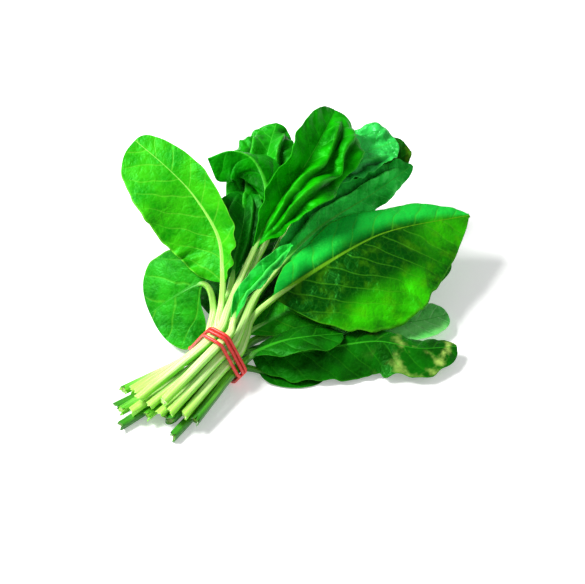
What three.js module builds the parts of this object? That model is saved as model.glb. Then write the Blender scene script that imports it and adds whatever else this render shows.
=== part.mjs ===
// A bunch of flat-leaf spinach lying on a table, held by one red rubber band wound three times.
// Millimetres. +X runs along the bunch from the cut ends to the leaf tips, +Y is to its left, +Z is up.
// Each leaf is a pale stem and a green blade. Both follow one curve, from the cut end, through the
// leaf's own place inside the band, to the tip of the leaf.
import * as THREE from 'three';

// The waist, where the band presses the stems together in rows
const STEM_PITCH = 7.1;
const ROW_RISE = 6.1;
const LOWEST_ROW = 5.9;
const ROW_COUNTS = [4, 5, 4, 3, 2];
const WAIST_HALF = 8;

// The fan of cut ends behind the band, sunk towards the table, as it is at END_REACH from the waist
const END_REACH = 55;
const END_SPREAD = 1.9;
const END_DRIFT = 9;
const END_LOWEST = 3.6;
const END_RISE = 3.5;

// Stems
const STEM_RADIUS = 2.9;
const STEM_TIP_RADIUS = 1.9;
const STEM_SIDES = 8;
const STEM_STEPS = 9;
const GROOVE = 0.28;
const GREEN_STEMS = ['right_tip', 'bottom_right', 'table_right', 'right_fold', 'table_left', 'table_back'];

// Blades
const BLADE_THICKNESS = 0.8;
const RIB_DEPTH = 1.6;
const RIB_HALF = 1.7;
const BASE_HALF = 2.3;
const TIP_HALF = 1.5;
const BLADE_STEPS = 13;
const HALF_STEPS = [0.25, 0.5, 0.75, 1];
const JOINT_GAP = 0.7;

// Rubber band
const STRAND_RADIUS = 1.1;
const STRAND_PITCH = 2.7;
const BAND_TURNS = 3;
const BAND_STEPS = 22;
const BAND_SIDES = 6;
const BAND_GAP = 0.6;
const FIRST_TURN_SLACK = 2.4;

const DEGREE = Math.PI / 180;

// slot is a leaf's place in the waist, as row up from the table and column from the left.
// cut is how far its stem stands out behind the waist, and stem is how far the stem runs ahead of
// it before the blade starts. path lists the points that the leaf's middle line passes on its way
// to the tip, and lobe is how far the base of the blade reaches back beside the stem.
// Each half of a blade has its width, where along the blade it is broadest, how far it is lifted
// from level and how far it curls, in degrees from base to tip, and the height, number and phase
// of the waves along its edge. pleat is the same for deeper folds that run over the whole half, with
// how far they slant, and tip is larger where the half is drawn out to a point.
const LEAVES = [
  {
    name: 'upper_left',
    colour: 0x4fbf1e,
    slot: [3, 0],
    cut: 52,
    stem: 42,
    path: [[27, 17, 31], [39, 25, 43], [54, 40, 54], [62, 64, 68], [64, 87, 79], [66, 115, 87]],
    left: {
      width: 34, broadest: 0.55, tip: 0.4,
      lift: [-20, -28, -24, -20], curl: [10, 15, 10, 0], wave: [1.5, 2, 0],
    },
    right: {
      width: 16, broadest: 0.6, tip: 0.4,
      lift: [40, 45, 40, 30], curl: [20, 10, 0, -20], wave: [2, 2, 0.3],
    },
    lobe: 8,
  },
  {
    name: 'left_low',
    colour: 0x1f9a1a,
    slot: [1, 0],
    cut: 50,
    stem: 48,
    path: [[27, 24, 20], [32, 31, 30], [30, 38, 32], [20, 48, 24], [7, 60, 11]],
    left: { width: 36, broadest: 0.62, lift: [-42, -36, -30, -18], wave: [1.2, 2, 0.1] },
    right: { width: 31, broadest: 0.45, lift: [36, 36, 34, 28], curl: [0, -20, -20, 0], wave: [1, 2, 0] },
    lobe: 0,
  },
  {
    name: 'left_fold',
    colour: 0x1fae1f,
    slot: [3, 1],
    cut: 55,
    stem: 112,
    path: [
      [40, 10, 26], [60, 18, 34], [80, 21, 43], [92, 29, 54],
      [102, 39, 66], [106, 52, 76], [102, 66, 78], [93, 78, 72],
    ],
    left: {
      width: 19, broadest: 0.8, tip: 0.1,
      lift: [-60, -62, -58, -50], wave: [1.5, 2, 0], pleat: [1, 2.5, 0, 0.3],
    },
    right: { width: 17, tip: 0.3, lift: [-5, -20, -35, -45], curl: [-5, -20, -20, 0], wave: [2, 2, 0.5] },
    lobe: 0,
  },
  {
    name: 'left_centre',
    colour: 0x128016,
    slot: [2, 0],
    cut: 50,
    stem: 50,
    path: [[35, 18, 29], [56, 28, 39], [74, 36, 47], [88, 44, 52], [98, 52, 53]],
    left: { width: 23, lift: [15, 10, 10, 10], wave: [2, 2.5, 0.2], pleat: [2.5, 2, 0, 0.3] },
    right: { width: 12, broadest: 0.6, lift: [15, 10, 10, 10], wave: [1, 2, 0] },
    lobe: 3,
  },
  {
    name: 'top_left_back',
    colour: 0x35b52a,
    slot: [2, 1],
    cut: 62,
    stem: 78,
    path: [[47, 19, 24], [77, 31, 38], [109, 47, 54], [132, 57, 67], [150, 65, 70]],
    left: {
      width: 24, broadest: 0.6, tip: 0.4, lift: [0, 0, 0, -10], curl: [10, 10, 0, -30],
      wave: [2.5, 2, 0.2], pleat: [3, 2, 0.6, 0.3],
    },
    right: {
      width: 17, broadest: 0.6, tip: 0.4, lift: [0, 0, 0, -10], curl: [10, 10, 0, -30],
      wave: [2, 2.5, 0], pleat: [2.5, 2.5, 0.3, 0.3],
    },
    lobe: 3,
  },
  {
    name: 'central_crest',
    colour: 0x1a9a1c,
    slot: [4, 0],
    cut: 56,
    stem: 70,
    path: [
      [40, 14, 37], [57, 18, 43], [77, 22, 50], [99, 23, 61],
      [119, 21, 74], [144, 24, 83], [167, 30, 86],
    ],
    left: { width: 18, broadest: 0.6, lift: [55, 62, 60, 40], curl: [10, 10, 0, 0], wave: [2.5, 2.5, 0] },
    right: {
      width: 30, broadest: 0.65, tip: 0.5, lift: [14, 12, 12, 10], curl: [0, -30, -70, -75],
      wave: [4, 2.5, 0.15], pleat: [4.5, 2.4, 0.1, 0.35],
    },
    lobe: 4,
  },
  {
    name: 'right_crinkled',
    colour: 0x2aa63a,
    slot: [2, 2],
    cut: 54,
    stem: 113,
    path: [[43, 6, 21], [84, 15, 36], [124, 19, 52], [157, 9, 62], [184, -8, 67]],
    left: {
      width: 24, broadest: 0.6, tip: 0.4,
      lift: [5, 5, 5, 0], wave: [3, 2.5, 0], pleat: [2.5, 3, 0.2, 0.4],
    },
    right: {
      width: 19, broadest: 0.62, tip: 0.4,
      lift: [35, 22, 5, -5], wave: [2, 2.5, 0.3], pleat: [2, 3, 0, 0.4],
    },
    lobe: 2,
  },
  {
    name: 'right_curl',
    colour: 0x157018,
    slot: [1, 1],
    cut: 63,
    stem: 78,
    path: [[50, 13, 15], [96, 10, 25], [140, 5, 34], [175, -2, 42], [199, -10, 50]],
    left: {
      width: 24, broadest: 0.6, tip: 0.3,
      lift: [5, 5, 10, 45], curl: [0, 10, 30, 60], wave: [2, 2.5, 0],
    },
    right: { width: 14, broadest: 0.55, lift: [-5, -10, -10, 0], curl: [0, 0, 0, 30], wave: [2, 2.5, 0.4] },
    lobe: 2,
  },
  {
    name: 'long_roll',
    colour: 0x1a9c2c,
    slot: [3, 2],
    cut: 52,
    stem: 72,
    path: [[47, 5, 28], [83, 4, 37], [113, 0, 42], [150, -11, 46], [189, -18, 48]],
    left: {
      width: 16, lift: [38, 34, 30, 25], curl: [-5, -20], wave: [1.5, 3, 0], pleat: [1.5, 3.5, 0, 0.4],
    },
    right: { width: 11, lift: [-50, -60, -55, -30], wave: [1, 2, 0] },
    lobe: 0,
  },
  {
    name: 'big_right',
    colour: 0x2f9a1c,
    slot: [2, 3],
    cut: 47,
    stem: 54,
    path: [[37, -2, 23.5], [70, -12, 32], [113, -28, 39.5], [140, -41, 40], [182, -68, 35]],
    left: {
      width: 22, tip: 0.7, lift: [20, 25, 25, 10], curl: [-10, -35, -35, -10], wave: [2, 2.5, 0.2],
    },
    right: {
      width: 60, broadest: 0.45, tip: 0.95,
      lift: [-17, -13, -13, -20], curl: [-5, -15, -15, 0], wave: [2.5, 2, 0.1],
    },
    lobe: 14,
  },
  {
    name: 'behind_right',
    colour: 0x2c9a30,
    slot: [1, 2],
    cut: 57,
    stem: 28,
    path: [[38, -3, 12], [68, -21, 20], [108, -40, 24], [138, -58, 20], [158, -70, 15]],
    left: { width: 24, lift: [0, 0], wave: [1, 2, 0] },
    right: {
      width: 25, broadest: 0.58, lift: [-15, -19, -20, -18], curl: [0, -10, -15, 0], wave: [1.5, 2.5, 0],
    },
    lobe: 3,
  },
  {
    name: 'right_tip',
    colour: 0x3c9c48,
    slot: [0, 2],
    cut: 50,
    stem: 72,
    path: [[34, -6, 6], [58, -26, 8], [83, -54, 7.5], [104, -78, 6.5], [121, -92, 7]],
    left: { width: 21, tip: 0.35, lift: [0, -5], wave: [1.2, 2, 0] },
    right: { width: 17, broadest: 0.6, tip: 0.35, lift: [4, 2, 0, 0], wave: [1, 2.5, 0.2] },
    lobe: 3,
  },
  {
    name: 'bottom_right',
    colour: 0x0f6e10,
    slot: [1, 3],
    cut: 52,
    stem: 18,
    path: [[21, -14, 11], [34, -36, 13], [51, -54, 14.5], [69, -73, 15], [80, -95, 13], [99, -112, 9]],
    left: { width: 11, tip: 0.35, lift: [-10, -12, -12, -5], wave: [1, 2, 0] },
    right: {
      width: 22, broadest: 0.5, tip: 0.35, lift: [-30, -32, -32, -20], wave: [1.5, 2.5, 0.3],
    },
    lobe: 2,
  },
  {
    name: 'table_right',
    colour: 0x0c5c10,
    slot: [0, 3],
    cut: 58,
    stem: 20,
    path: [[13, -19, 4], [18, -30, 1.5], [25, -42, 0.8], [36, -56, 0.8]],
    left: { width: 8, lift: [0, 0] },
    right: { width: 9, lift: [0, 0] },
    lobe: 0,
  },
  {
    name: 'right_fold',
    colour: 0x0e5a14,
    slot: [1, 4],
    cut: 44,
    stem: 14,
    path: [[19, -18, 16], [32, -28, 19.5], [46, -40, 19], [60, -52, 16.5]],
    left: { width: 10, broadest: 0.6, lift: [-12, -12], wave: [1, 2, 0] },
    right: { width: 15, broadest: 0.6, tip: 0.4, lift: [8, 8], wave: [1.5, 2, 0.2] },
    lobe: 0,
  },
  {
    name: 'table_left',
    colour: 0x147a16,
    slot: [0, 0],
    cut: 60,
    stem: 34,
    path: [[30, 20, 8], [60, 36, 11], [93, 48, 13], [128, 59, 15]],
    left: { width: 25, lift: [-10, -10], wave: [1.5, 2, 0] },
    right: { width: 27, lift: [0, 0], wave: [1.5, 2, 0.3] },
    lobe: 2,
  },
  {
    name: 'table_back',
    colour: 0x116a14,
    slot: [0, 1],
    cut: 70,
    stem: 46,
    path: [[30, 5, 5], [60, 8, 0.5], [95, 13, 0], [130, 18, 2], [160, 22, 10]],
    left: { width: 27, lift: [0, 0] },
    right: { width: 27, lift: [0, 0] },
    lobe: 2,
  },
  {
    name: 'inner_small',
    colour: 0x2f9a3a,
    slot: [4, 1],
    cut: 50,
    stem: 18,
    path: [[26, 3, 38], [42, 3, 42], [60, 2, 46], [78, 0, 50]],
    left: { width: 7, lift: [40, 40], wave: [1.2, 3, 0] },
    right: { width: 8, lift: [30, 30], wave: [1.5, 3, 0.4] },
    lobe: 0,
  },
];

// Value at t, from 0 to 1, of a smooth line through evenly spaced keys
function ease(keys, t) {
  const last = keys.length - 1;
  const x = THREE.MathUtils.clamp(t, 0, 1) * last;
  const i = Math.min(Math.floor(x), last - 1);
  const f = x - i;
  const b = keys[i];
  const c = keys[i + 1];
  const a = i > 0 ? keys[i - 1] : 2 * b - c;
  const d = i + 2 <= last ? keys[i + 2] : 2 * c - b;
  return b + 0.5 * f * (c - a + f * (2 * a - 5 * b + 4 * c - d + f * (3 * (b - c) + d - a)));
}

// Place of a stem in the waist's cross-section, as y and z
function slotPlace([row, column]) {
  const y = ((ROW_COUNTS[row] - 1) / 2 - column) * STEM_PITCH;
  return [y, LOWEST_ROW + row * ROW_RISE];
}

// The middle line of a leaf, measured along its length from the cut end
class LeafPath {
  constructor({ slot, cut, path }) {
    const [y, z] = slotPlace(slot);
    const fan = (cut - WAIST_HALF) / (END_REACH - WAIST_HALF);
    const spread = y * END_SPREAD + END_DRIFT;
    const sunk = END_LOWEST + slot[0] * END_RISE;
    const end = new THREE.Vector3(-cut, y + (spread - y) * fan, z + (sunk - z) * fan);
    const back = new THREE.Vector3(-WAIST_HALF, y, z);
    const front = new THREE.Vector3(WAIST_HALF, y, z);
    const ahead = path.map((p) => new THREE.Vector3(...p));
    const behind = back.clone().lerp(end, 0.45);
    const before = front.clone().lerp(ahead[0], 0.4);
    const points = [end, behind, back, front, before, ...ahead];
    this.curve = new THREE.CatmullRomCurve3(points, false, 'catmullrom', 0.5);
    const lengths = this.curve.getLengths();
    this.total = this.curve.getLength();
    this.waist = lengths[Math.round((2.5 / (points.length - 1)) * (lengths.length - 1))];
  }

  point(distance) {
    return this.curve.getPointAt(THREE.MathUtils.clamp(distance / this.total, 0, 1));
  }

  // Forward, left and up at a distance along the line, with left kept level
  frame(distance) {
    const forward = this.point(distance + 2).sub(this.point(distance - 2)).normalize();
    const left = new THREE.Vector3(0, 0, 1).cross(forward).normalize();
    return { forward, left, up: forward.clone().cross(left) };
  }
}

// Share of the full half-width at v, from the base at 0 to the tip at 1. A larger tip is more pointed.
function outline(v, broadest, tip) {
  const base = (tip * broadest) / (1 - broadest);
  const full = broadest ** base * (1 - broadest) ** tip;
  return (v ** base * (1 - v) ** tip) / full;
}

// The middle surface of a blade. s runs across it, from -1 at the right edge to 1 at the left edge.
class BladeSurface {
  constructor(leaf, path) {
    this.leaf = leaf;
    this.path = path;
    this.start = path.waist + leaf.stem;
    this.length = path.total - this.start;
  }

  side(s) {
    return s < 0 ? this.leaf.right : this.leaf.left;
  }

  halfWidth(v, s) {
    const { width, broadest = 0.5, tip = 0.5 } = this.side(s);
    const least = THREE.MathUtils.lerp(BASE_HALF, TIP_HALF, v);
    return Math.max(width * outline(v, broadest, tip), least);
  }

  // Each side of the rib is an arc across, its edge waves up and down, and pleats may run over it at
  // a slant. A blade that presses on the table is flattened by it.
  point(v, s) {
    const { width, lift, curl = [0, 0], wave = [0, 0, 0], pleat = [0, 0, 0, 0] } = this.side(s);
    const distance = this.start + v * this.length;
    const { forward, left, up } = this.path.frame(distance);
    const across = Math.abs(s) * this.halfWidth(v, s);
    const outer = (across / width) ** 2;
    const bend = (ease(curl, v) * DEGREE) / width || 1e-6;
    const rise = ease(lift, v) * DEGREE;
    const angle = rise + bend * across;
    const edge = wave[0] * outer * Math.sin(2 * Math.PI * (wave[1] * v + wave[2]));
    const turns = pleat[1] * v + pleat[2] + pleat[3] * Math.abs(s);
    const ripple = edge + pleat[0] * (across / width) * Math.sin(2 * Math.PI * turns);
    const out = (Math.sin(angle) - Math.sin(rise)) / bend - ripple * Math.sin(angle);
    const height = (Math.cos(rise) - Math.cos(angle)) / bend + ripple * Math.cos(angle);
    const place = this.path
      .point(distance)
      .addScaledVector(left, Math.sign(s) * out)
      .addScaledVector(up, height)
      .addScaledVector(forward, -this.leaf.lobe * outer * (1 - v) ** 3);
    place.z = Math.max(place.z, BLADE_THICKNESS / 2);
    return place;
  }

  normal(v, s) {
    const along = this.point(Math.min(v + 0.012, 1), s).sub(this.point(Math.max(v - 0.012, 0), s));
    const across = this.point(v, Math.min(s + 0.05, 1)).sub(this.point(v, Math.max(s - 0.05, -1)));
    return along.cross(across).normalize();
  }
}

function toGeometry(points, index) {
  const geometry = new THREE.BufferGeometry().setFromPoints(points);
  geometry.setIndex(index);
  geometry.computeVertexNormals();
  return geometry;
}

// Triangles that join rings of the same number of points, each to the next
function ringTriangles(ringCount, size) {
  const index = [];
  for (let r = 0; r + 1 < ringCount; r += 1) {
    for (let k = 0; k < size; k += 1) {
      const a = r * size + k;
      const b = r * size + ((k + 1) % size);
      index.push(a, b, b + size, a, b + size, a + size);
    }
  }
  return index;
}

// A stem is a tapering rod with a shallow groove along its upper side, cut square at both ends.
function stemGeometry(leaf, path) {
  const reach = path.waist + leaf.stem - JOINT_GAP;
  const points = [];
  for (let i = 0; i <= STEM_STEPS; i += 1) {
    const distance = (reach * i) / STEM_STEPS;
    const { left, up } = path.frame(distance);
    const taper = THREE.MathUtils.smoothstep(distance, path.waist, reach);
    const radius = THREE.MathUtils.lerp(STEM_RADIUS, STEM_TIP_RADIUS, taper);
    for (let k = 0; k < STEM_SIDES; k += 1) {
      const angle = (2 * Math.PI * k) / STEM_SIDES;
      const dip = 1 - GROOVE * Math.max(0, Math.sin(angle)) ** 6;
      const point = path
        .point(distance)
        .addScaledVector(left, radius * Math.cos(angle))
        .addScaledVector(up, radius * dip * Math.sin(angle));
      point.z = Math.max(point.z, 0);
      points.push(point);
    }
  }
  const index = ringTriangles(STEM_STEPS + 1, STEM_SIDES);
  const last = STEM_STEPS * STEM_SIDES;
  for (let k = 1; k + 1 < STEM_SIDES; k += 1) {
    index.push(0, k + 1, k);
    index.push(last, last + k, last + k + 1);
  }
  return toGeometry(points, index);
}

// A blade is a thin curved sheet, thickened below by the rib that the stem runs into.
function bladeGeometry(surface) {
  const upper = [];
  const lower = [];
  for (let i = 0; i <= BLADE_STEPS; i += 1) {
    const even = i / BLADE_STEPS;
    const v = THREE.MathUtils.lerp(even, (1 - Math.cos(Math.PI * even)) / 2, 0.55);
    const leftRib = Math.min(RIB_HALF / surface.halfWidth(v, 1), 0.3);
    const rightRib = Math.min(RIB_HALF / surface.halfWidth(v, -1), 0.3);
    const across = [
      ...HALF_STEPS.map((s) => -THREE.MathUtils.lerp(rightRib, 1, s)).reverse(),
      -rightRib,
      0,
      leftRib,
      ...HALF_STEPS.map((s) => THREE.MathUtils.lerp(leftRib, 1, s)),
    ];
    for (const s of across) {
      const normal = surface.normal(v, s);
      const rib = s === 0 ? RIB_DEPTH * (1 - v) ** 0.8 : 0;
      const below = surface.point(v, s).addScaledVector(normal, -BLADE_THICKNESS / 2 - rib);
      below.z = Math.max(below.z, 0);
      upper.push(surface.point(v, s).addScaledVector(normal, BLADE_THICKNESS / 2));
      lower.push(below);
    }
  }
  const columns = 2 * HALF_STEPS.length + 3;
  const under = upper.length;
  const index = [];
  const quad = (a, b, c, d) => index.push(a, b, c, a, c, d);
  for (let i = 0; i < BLADE_STEPS; i += 1) {
    for (let k = 0; k + 1 < columns; k += 1) {
      const a = i * columns + k;
      const ahead = a + columns;
      index.push(a, ahead, ahead + 1, a, ahead + 1, a + 1);
      index.push(under + a, under + ahead + 1, under + ahead, under + a, under + a + 1, under + ahead + 1);
    }
    const right = i * columns;
    const left = right + columns - 1;
    quad(right, under + right, under + right + columns, right + columns);
    quad(left + columns, under + left + columns, under + left, left);
  }
  for (let k = 0; k + 1 < columns; k += 1) {
    const tip = BLADE_STEPS * columns + k;
    quad(k + 1, under + k + 1, under + k, k);
    quad(tip, under + tip, under + tip + 1, tip + 1);
  }
  return toGeometry([...upper, ...lower], index);
}

// Where a strand lies in the waist's cross-section when it is pulled tight round the stems
function strandPlace(angle, clearance) {
  const outY = Math.cos(angle);
  const outZ = Math.sin(angle);
  const places = LEAVES.map((leaf) => slotPlace(leaf.slot));
  const reaches = places.map(([y, z]) => y * outY + z * outZ);
  const [y, z] = places[reaches.indexOf(Math.max(...reaches))];
  return [y + clearance * outY, z + clearance * outZ];
}

// One closed loop of rubber, wound round the waist and crossing back over itself on the far side.
// On top, its first turn has slipped away from the other two.
function bandGeometry() {
  const steps = BAND_TURNS * BAND_STEPS;
  const centres = [];
  for (let i = 0; i < steps; i += 1) {
    const turns = (i / steps) * BAND_TURNS;
    const back = THREE.MathUtils.smoothstep(turns, BAND_TURNS - 0.2, BAND_TURNS - 0.02);
    const hump = 2.4 * STRAND_RADIUS * Math.sin(Math.PI * back) ** 0.7;
    const clearance = STEM_RADIUS + BAND_GAP + STRAND_RADIUS + hump;
    const angle = 2 * Math.PI * (turns + 0.055);
    const slack = turns < 1 ? FIRST_TURN_SLACK * Math.max(0, Math.cos(angle - 110 * DEGREE)) : 0;
    const along = STRAND_PITCH * (turns * (1 - back) - 0.4 * BAND_TURNS) - slack;
    centres.push(new THREE.Vector3(along, ...strandPlace(angle, clearance)));
  }
  const points = centres.flatMap((centre, i) => {
    const before = centres[(i + steps - 1) % steps];
    const after = centres[(i + 1) % steps];
    const forward = after.clone().sub(before).normalize();
    const side = new THREE.Vector3(1, 0, 0).addScaledVector(forward, -forward.x).normalize();
    const out = forward.clone().cross(side);
    return Array.from({ length: BAND_SIDES }, (_, k) => {
      const angle = (2 * Math.PI * k) / BAND_SIDES;
      return centre
        .clone()
        .addScaledVector(side, STRAND_RADIUS * Math.cos(angle))
        .addScaledVector(out, STRAND_RADIUS * Math.sin(angle));
    });
  });
  const index = ringTriangles(steps + 1, BAND_SIDES).map((k) => k % points.length);
  return toGeometry(points, index);
}

function piece(name, geometry, color, roughness) {
  const mesh = new THREE.Mesh(geometry, new THREE.MeshStandardMaterial({ color, roughness, metalness: 0 }));
  mesh.name = name;
  return mesh;
}

const bunch = new THREE.Group();

for (const leaf of LEAVES) {
  const path = new LeafPath(leaf);
  const stemColour = GREEN_STEMS.includes(leaf.name) ? 0x9ccb4e : 0xdcefa4;
  const whole = new THREE.Group();
  whole.add(piece(`stem_${leaf.name}`, stemGeometry(leaf, path), stemColour, 0.45));
  whole.add(piece(`blade_${leaf.name}`, bladeGeometry(new BladeSurface(leaf, path)), leaf.colour, 0.4));
  bunch.add(whole);
}

bunch.add(piece('rubber_band', bandGeometry(), 0xe0352b, 0.5));

// The origin is on the table, under the middle of the bunch.
const middle = new THREE.Box3().setFromObject(bunch).getCenter(new THREE.Vector3());
bunch.position.set(-middle.x, -middle.y, 0);

export default bunch;
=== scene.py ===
"""Looks of a bunch of flat-leaf spinach that lies on its side, tied with a rubber band.

The plans of the leaves are in millimetres, in the bunch's own frame: its origin is on the table
under the middle of the tie, +X runs to the leaf tips, +Y to the left and +Z up. `to_row` brings
points from there to the row frame, in metres.
"""

import logging
import math
from dataclasses import dataclass, field, replace
from enum import Enum
from typing import Any, Sequence

import bpy
import numpy as np
from mathutils import Matrix, Vector


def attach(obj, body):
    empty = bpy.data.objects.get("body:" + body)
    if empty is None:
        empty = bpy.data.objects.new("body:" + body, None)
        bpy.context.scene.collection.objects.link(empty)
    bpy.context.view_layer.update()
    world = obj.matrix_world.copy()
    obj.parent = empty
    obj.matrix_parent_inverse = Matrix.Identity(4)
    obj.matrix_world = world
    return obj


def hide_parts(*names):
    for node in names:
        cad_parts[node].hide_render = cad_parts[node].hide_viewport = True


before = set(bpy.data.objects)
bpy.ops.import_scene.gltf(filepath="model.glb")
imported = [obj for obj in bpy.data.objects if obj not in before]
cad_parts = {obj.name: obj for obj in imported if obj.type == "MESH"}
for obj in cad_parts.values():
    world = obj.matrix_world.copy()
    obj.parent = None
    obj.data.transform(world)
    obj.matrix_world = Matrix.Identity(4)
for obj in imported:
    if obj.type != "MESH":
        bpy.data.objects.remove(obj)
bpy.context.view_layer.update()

LOG = logging.getLogger("spinach")
MM = 0.001
TIE = np.array([-64.216, 0.5477, 0.0])
BODY = "root"
FIRST_SEED = 100

Colour = tuple[float, float, float]
Socket = bpy.types.NodeSocket


class Slot(Enum):
    """Material slots of the record."""

    BLADE_BRIGHT = "blade_bright"
    BLADE_DEEP = "blade_deep"
    STALK_PALE = "stalk_pale"
    STALK_GREEN = "stalk_green"
    BAND = "band_rubber"


@dataclass(frozen=True)
class Waist:
    """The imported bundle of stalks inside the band, and the fan of cut ends behind it."""

    pitch: float = 7.1
    row_rise: float = 6.1
    lowest_row: float = 5.9
    rows: tuple[int, ...] = (4, 5, 4, 3, 2)
    half: float = 8.0
    end_reach: float = 55.0
    end_spread: float = 1.9
    end_drift: float = 9.0
    end_lowest: float = 3.6
    end_rise: float = 3.5

    def place(self, slot: tuple[int, int]) -> tuple[float, float]:
        """Place of a stalk in the cross-section.

        Args:
            slot: row up from the table, and column from the left.

        Returns:
            y and z in millimetres.
        """
        row, column = slot
        y = ((self.rows[row] - 1) / 2 - column) * self.pitch
        return y, self.lowest_row + row * self.row_rise


WAIST = Waist()


def to_row(points: np.ndarray) -> np.ndarray:
    """Points of the bunch's frame, in millimetres, as points of the row frame, in metres."""
    return (points + TIE) * MM


def ease(keys: Sequence[float], t: np.ndarray) -> np.ndarray:
    """Value of a smooth line through evenly spaced keys.

    Args:
        keys: values from t = 0 to t = 1.
        t: where to read it.

    Returns:
        An array of t's shape.
    """
    k = np.asarray(keys, float)
    last = len(k) - 1
    x = np.clip(t, 0, 1) * last
    i = np.minimum(np.floor(x).astype(int), last - 1)
    f = x - i
    k = np.concatenate([[2 * k[0] - k[1]], k, [2 * k[-1] - k[-2]]])
    a, b, c, d = k[i], k[i + 1], k[i + 2], k[i + 3]
    return b + 0.5 * f * (c - a + f * (2 * a - 5 * b + 4 * c - d + f * (3 * (b - c) + d - a)))


def unit(vectors: np.ndarray) -> np.ndarray:
    """The vectors, each made one long."""
    return vectors / np.maximum(np.linalg.norm(vectors, axis=-1, keepdims=True), 1e-12)


def smooth(low: float, high: float, x: np.ndarray) -> np.ndarray:
    """A soft step from 0 at low to 1 at high."""
    t = np.clip((x - low) / (high - low), 0, 1)
    return t * t * (3 - 2 * t)


class Unevenness:
    """Smooth uneven heights over a plane, from a fixed seed."""

    SIZE = 64

    def __init__(self, seed: int) -> None:
        """Draws the heights at the corners of a square lattice.

        Args:
            seed: the seed of the draw.
        """
        self.corners = np.random.default_rng(seed).uniform(-1, 1, (self.SIZE, self.SIZE))

    def at(self, x: np.ndarray, y: np.ndarray) -> np.ndarray:
        """Heights between -1 and 1.

        Args:
            x: first coordinate, in lattice cells.
            y: second coordinate, in lattice cells.

        Returns:
            An array of the broadcast shape of x and y.
        """
        x, y = np.broadcast_arrays(x, y)
        i, j = np.floor(x).astype(int), np.floor(y).astype(int)
        u, w = x - i, y - j
        u, w = (t * t * t * (t * (6 * t - 15) + 10) for t in (u, w))
        i, j, i1, j1 = i % self.SIZE, j % self.SIZE, (i + 1) % self.SIZE, (j + 1) % self.SIZE
        c = self.corners
        low = c[i, j] * (1 - u) + c[i1, j] * u
        high = c[i, j1] * (1 - u) + c[i1, j1] * u
        return low * (1 - w) + high * w


class Graph:
    """A node tree with short helpers for adding and joining nodes."""

    def __init__(self, tree: bpy.types.NodeTree) -> None:
        """Takes an empty tree.

        Args:
            tree: the tree to fill.
        """
        self.tree = tree

    def node(self, kind: str, inputs: dict[Any, Any] | None = None, **settings: Any) -> bpy.types.Node:
        """Adds a node.

        Args:
            kind: its bl_idname.
            inputs: values or sockets by input name or number.
            settings: its properties.

        Returns:
            The new node.
        """
        made = self.tree.nodes.new(kind)
        for key, value in settings.items():
            setattr(made, key, value)
        self.feed(made, inputs or {})
        return made

    def feed(self, node: bpy.types.Node, inputs: dict[Any, Any]) -> None:
        """Joins sockets to a node's inputs, and sets values on them.

        Args:
            node: the node.
            inputs: values or sockets by input name or number.
        """
        for key, value in inputs.items():
            if isinstance(value, bpy.types.NodeSocket):
                self.tree.links.new(value, node.inputs[key])
            else:
                node.inputs[key].default_value = value

    def math(self, operation: str, *terms: Any, clamp: bool = False) -> Socket:
        """A math node's result.

        Args:
            operation: what it does.
            terms: numbers or sockets, in order.
            clamp: whether the result is kept between 0 and 1.

        Returns:
            Its output socket.
        """
        made = self.node("ShaderNodeMath", dict(enumerate(terms)), operation=operation, use_clamp=clamp)
        return made.outputs[0]

    def mix(self, factor: Any, first: Any, second: Any) -> Socket:
        """A mix of two colours.

        Args:
            factor: the second colour's share, a number or socket.
            first: a colour or socket.
            second: a colour or socket.

        Returns:
            The mixed colour's socket.
        """
        colours = {6: first, 7: second}
        colours = {k: (*c, 1) if isinstance(c, tuple) else c for k, c in colours.items()}
        made = self.node(
            "ShaderNodeMix", {0: factor, **colours}, data_type="RGBA", clamp_factor=True
        )
        return made.outputs[2]

    def span(self, value: Any, low: Any, high: Any, to: tuple[float, float] = (0, 1)) -> Socket:
        """A smooth step.

        Args:
            value: what is measured.
            low: where the step starts.
            high: where it ends.
            to: its values there.

        Returns:
            The result's socket.
        """
        made = self.node(
            "ShaderNodeMapRange",
            {"Value": value, "From Min": low, "From Max": high, "To Min": to[0], "To Max": to[1]},
            interpolation_type="SMOOTHSTEP",
        )
        return made.outputs[0]

    def attribute(self, name: str, output: str = "Fac") -> Socket:
        """A mesh attribute's value in a material."""
        return self.node("ShaderNodeAttribute", attribute_name=name).outputs[output]

    def group(self, tree: bpy.types.NodeTree, inputs: dict[str, Any]) -> Socket:
        """Places a node group.

        Args:
            tree: the group, which has one output.
            inputs: values or sockets by name.

        Returns:
            The output's socket.
        """
        return self.node("ShaderNodeGroup", inputs, node_tree=tree).outputs[0]

    def noise(self, place: Socket, scale: Any, **more: float) -> Socket:
        """A noise texture's value.

        Args:
            place: where it is read.
            scale: its scale, a number or socket.
            more: its other inputs by name.

        Returns:
            The value's socket.
        """
        inputs = {"Vector": place, "Scale": scale}
        inputs.update({key.title(): value for key, value in more.items()})
        return self.node("ShaderNodeTexNoise", inputs).outputs[0]

    def bump(self, height: Socket, strength: float, distance: float) -> Socket:
        """Normals of a fine relief.

        Args:
            height: its height.
            strength: how strongly it shows.
            distance: its depth in metres.

        Returns:
            The normals' socket.
        """
        inputs = {"Strength": strength, "Distance": distance, "Height": height}
        return self.node("ShaderNodeBump", inputs).outputs[0]


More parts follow.
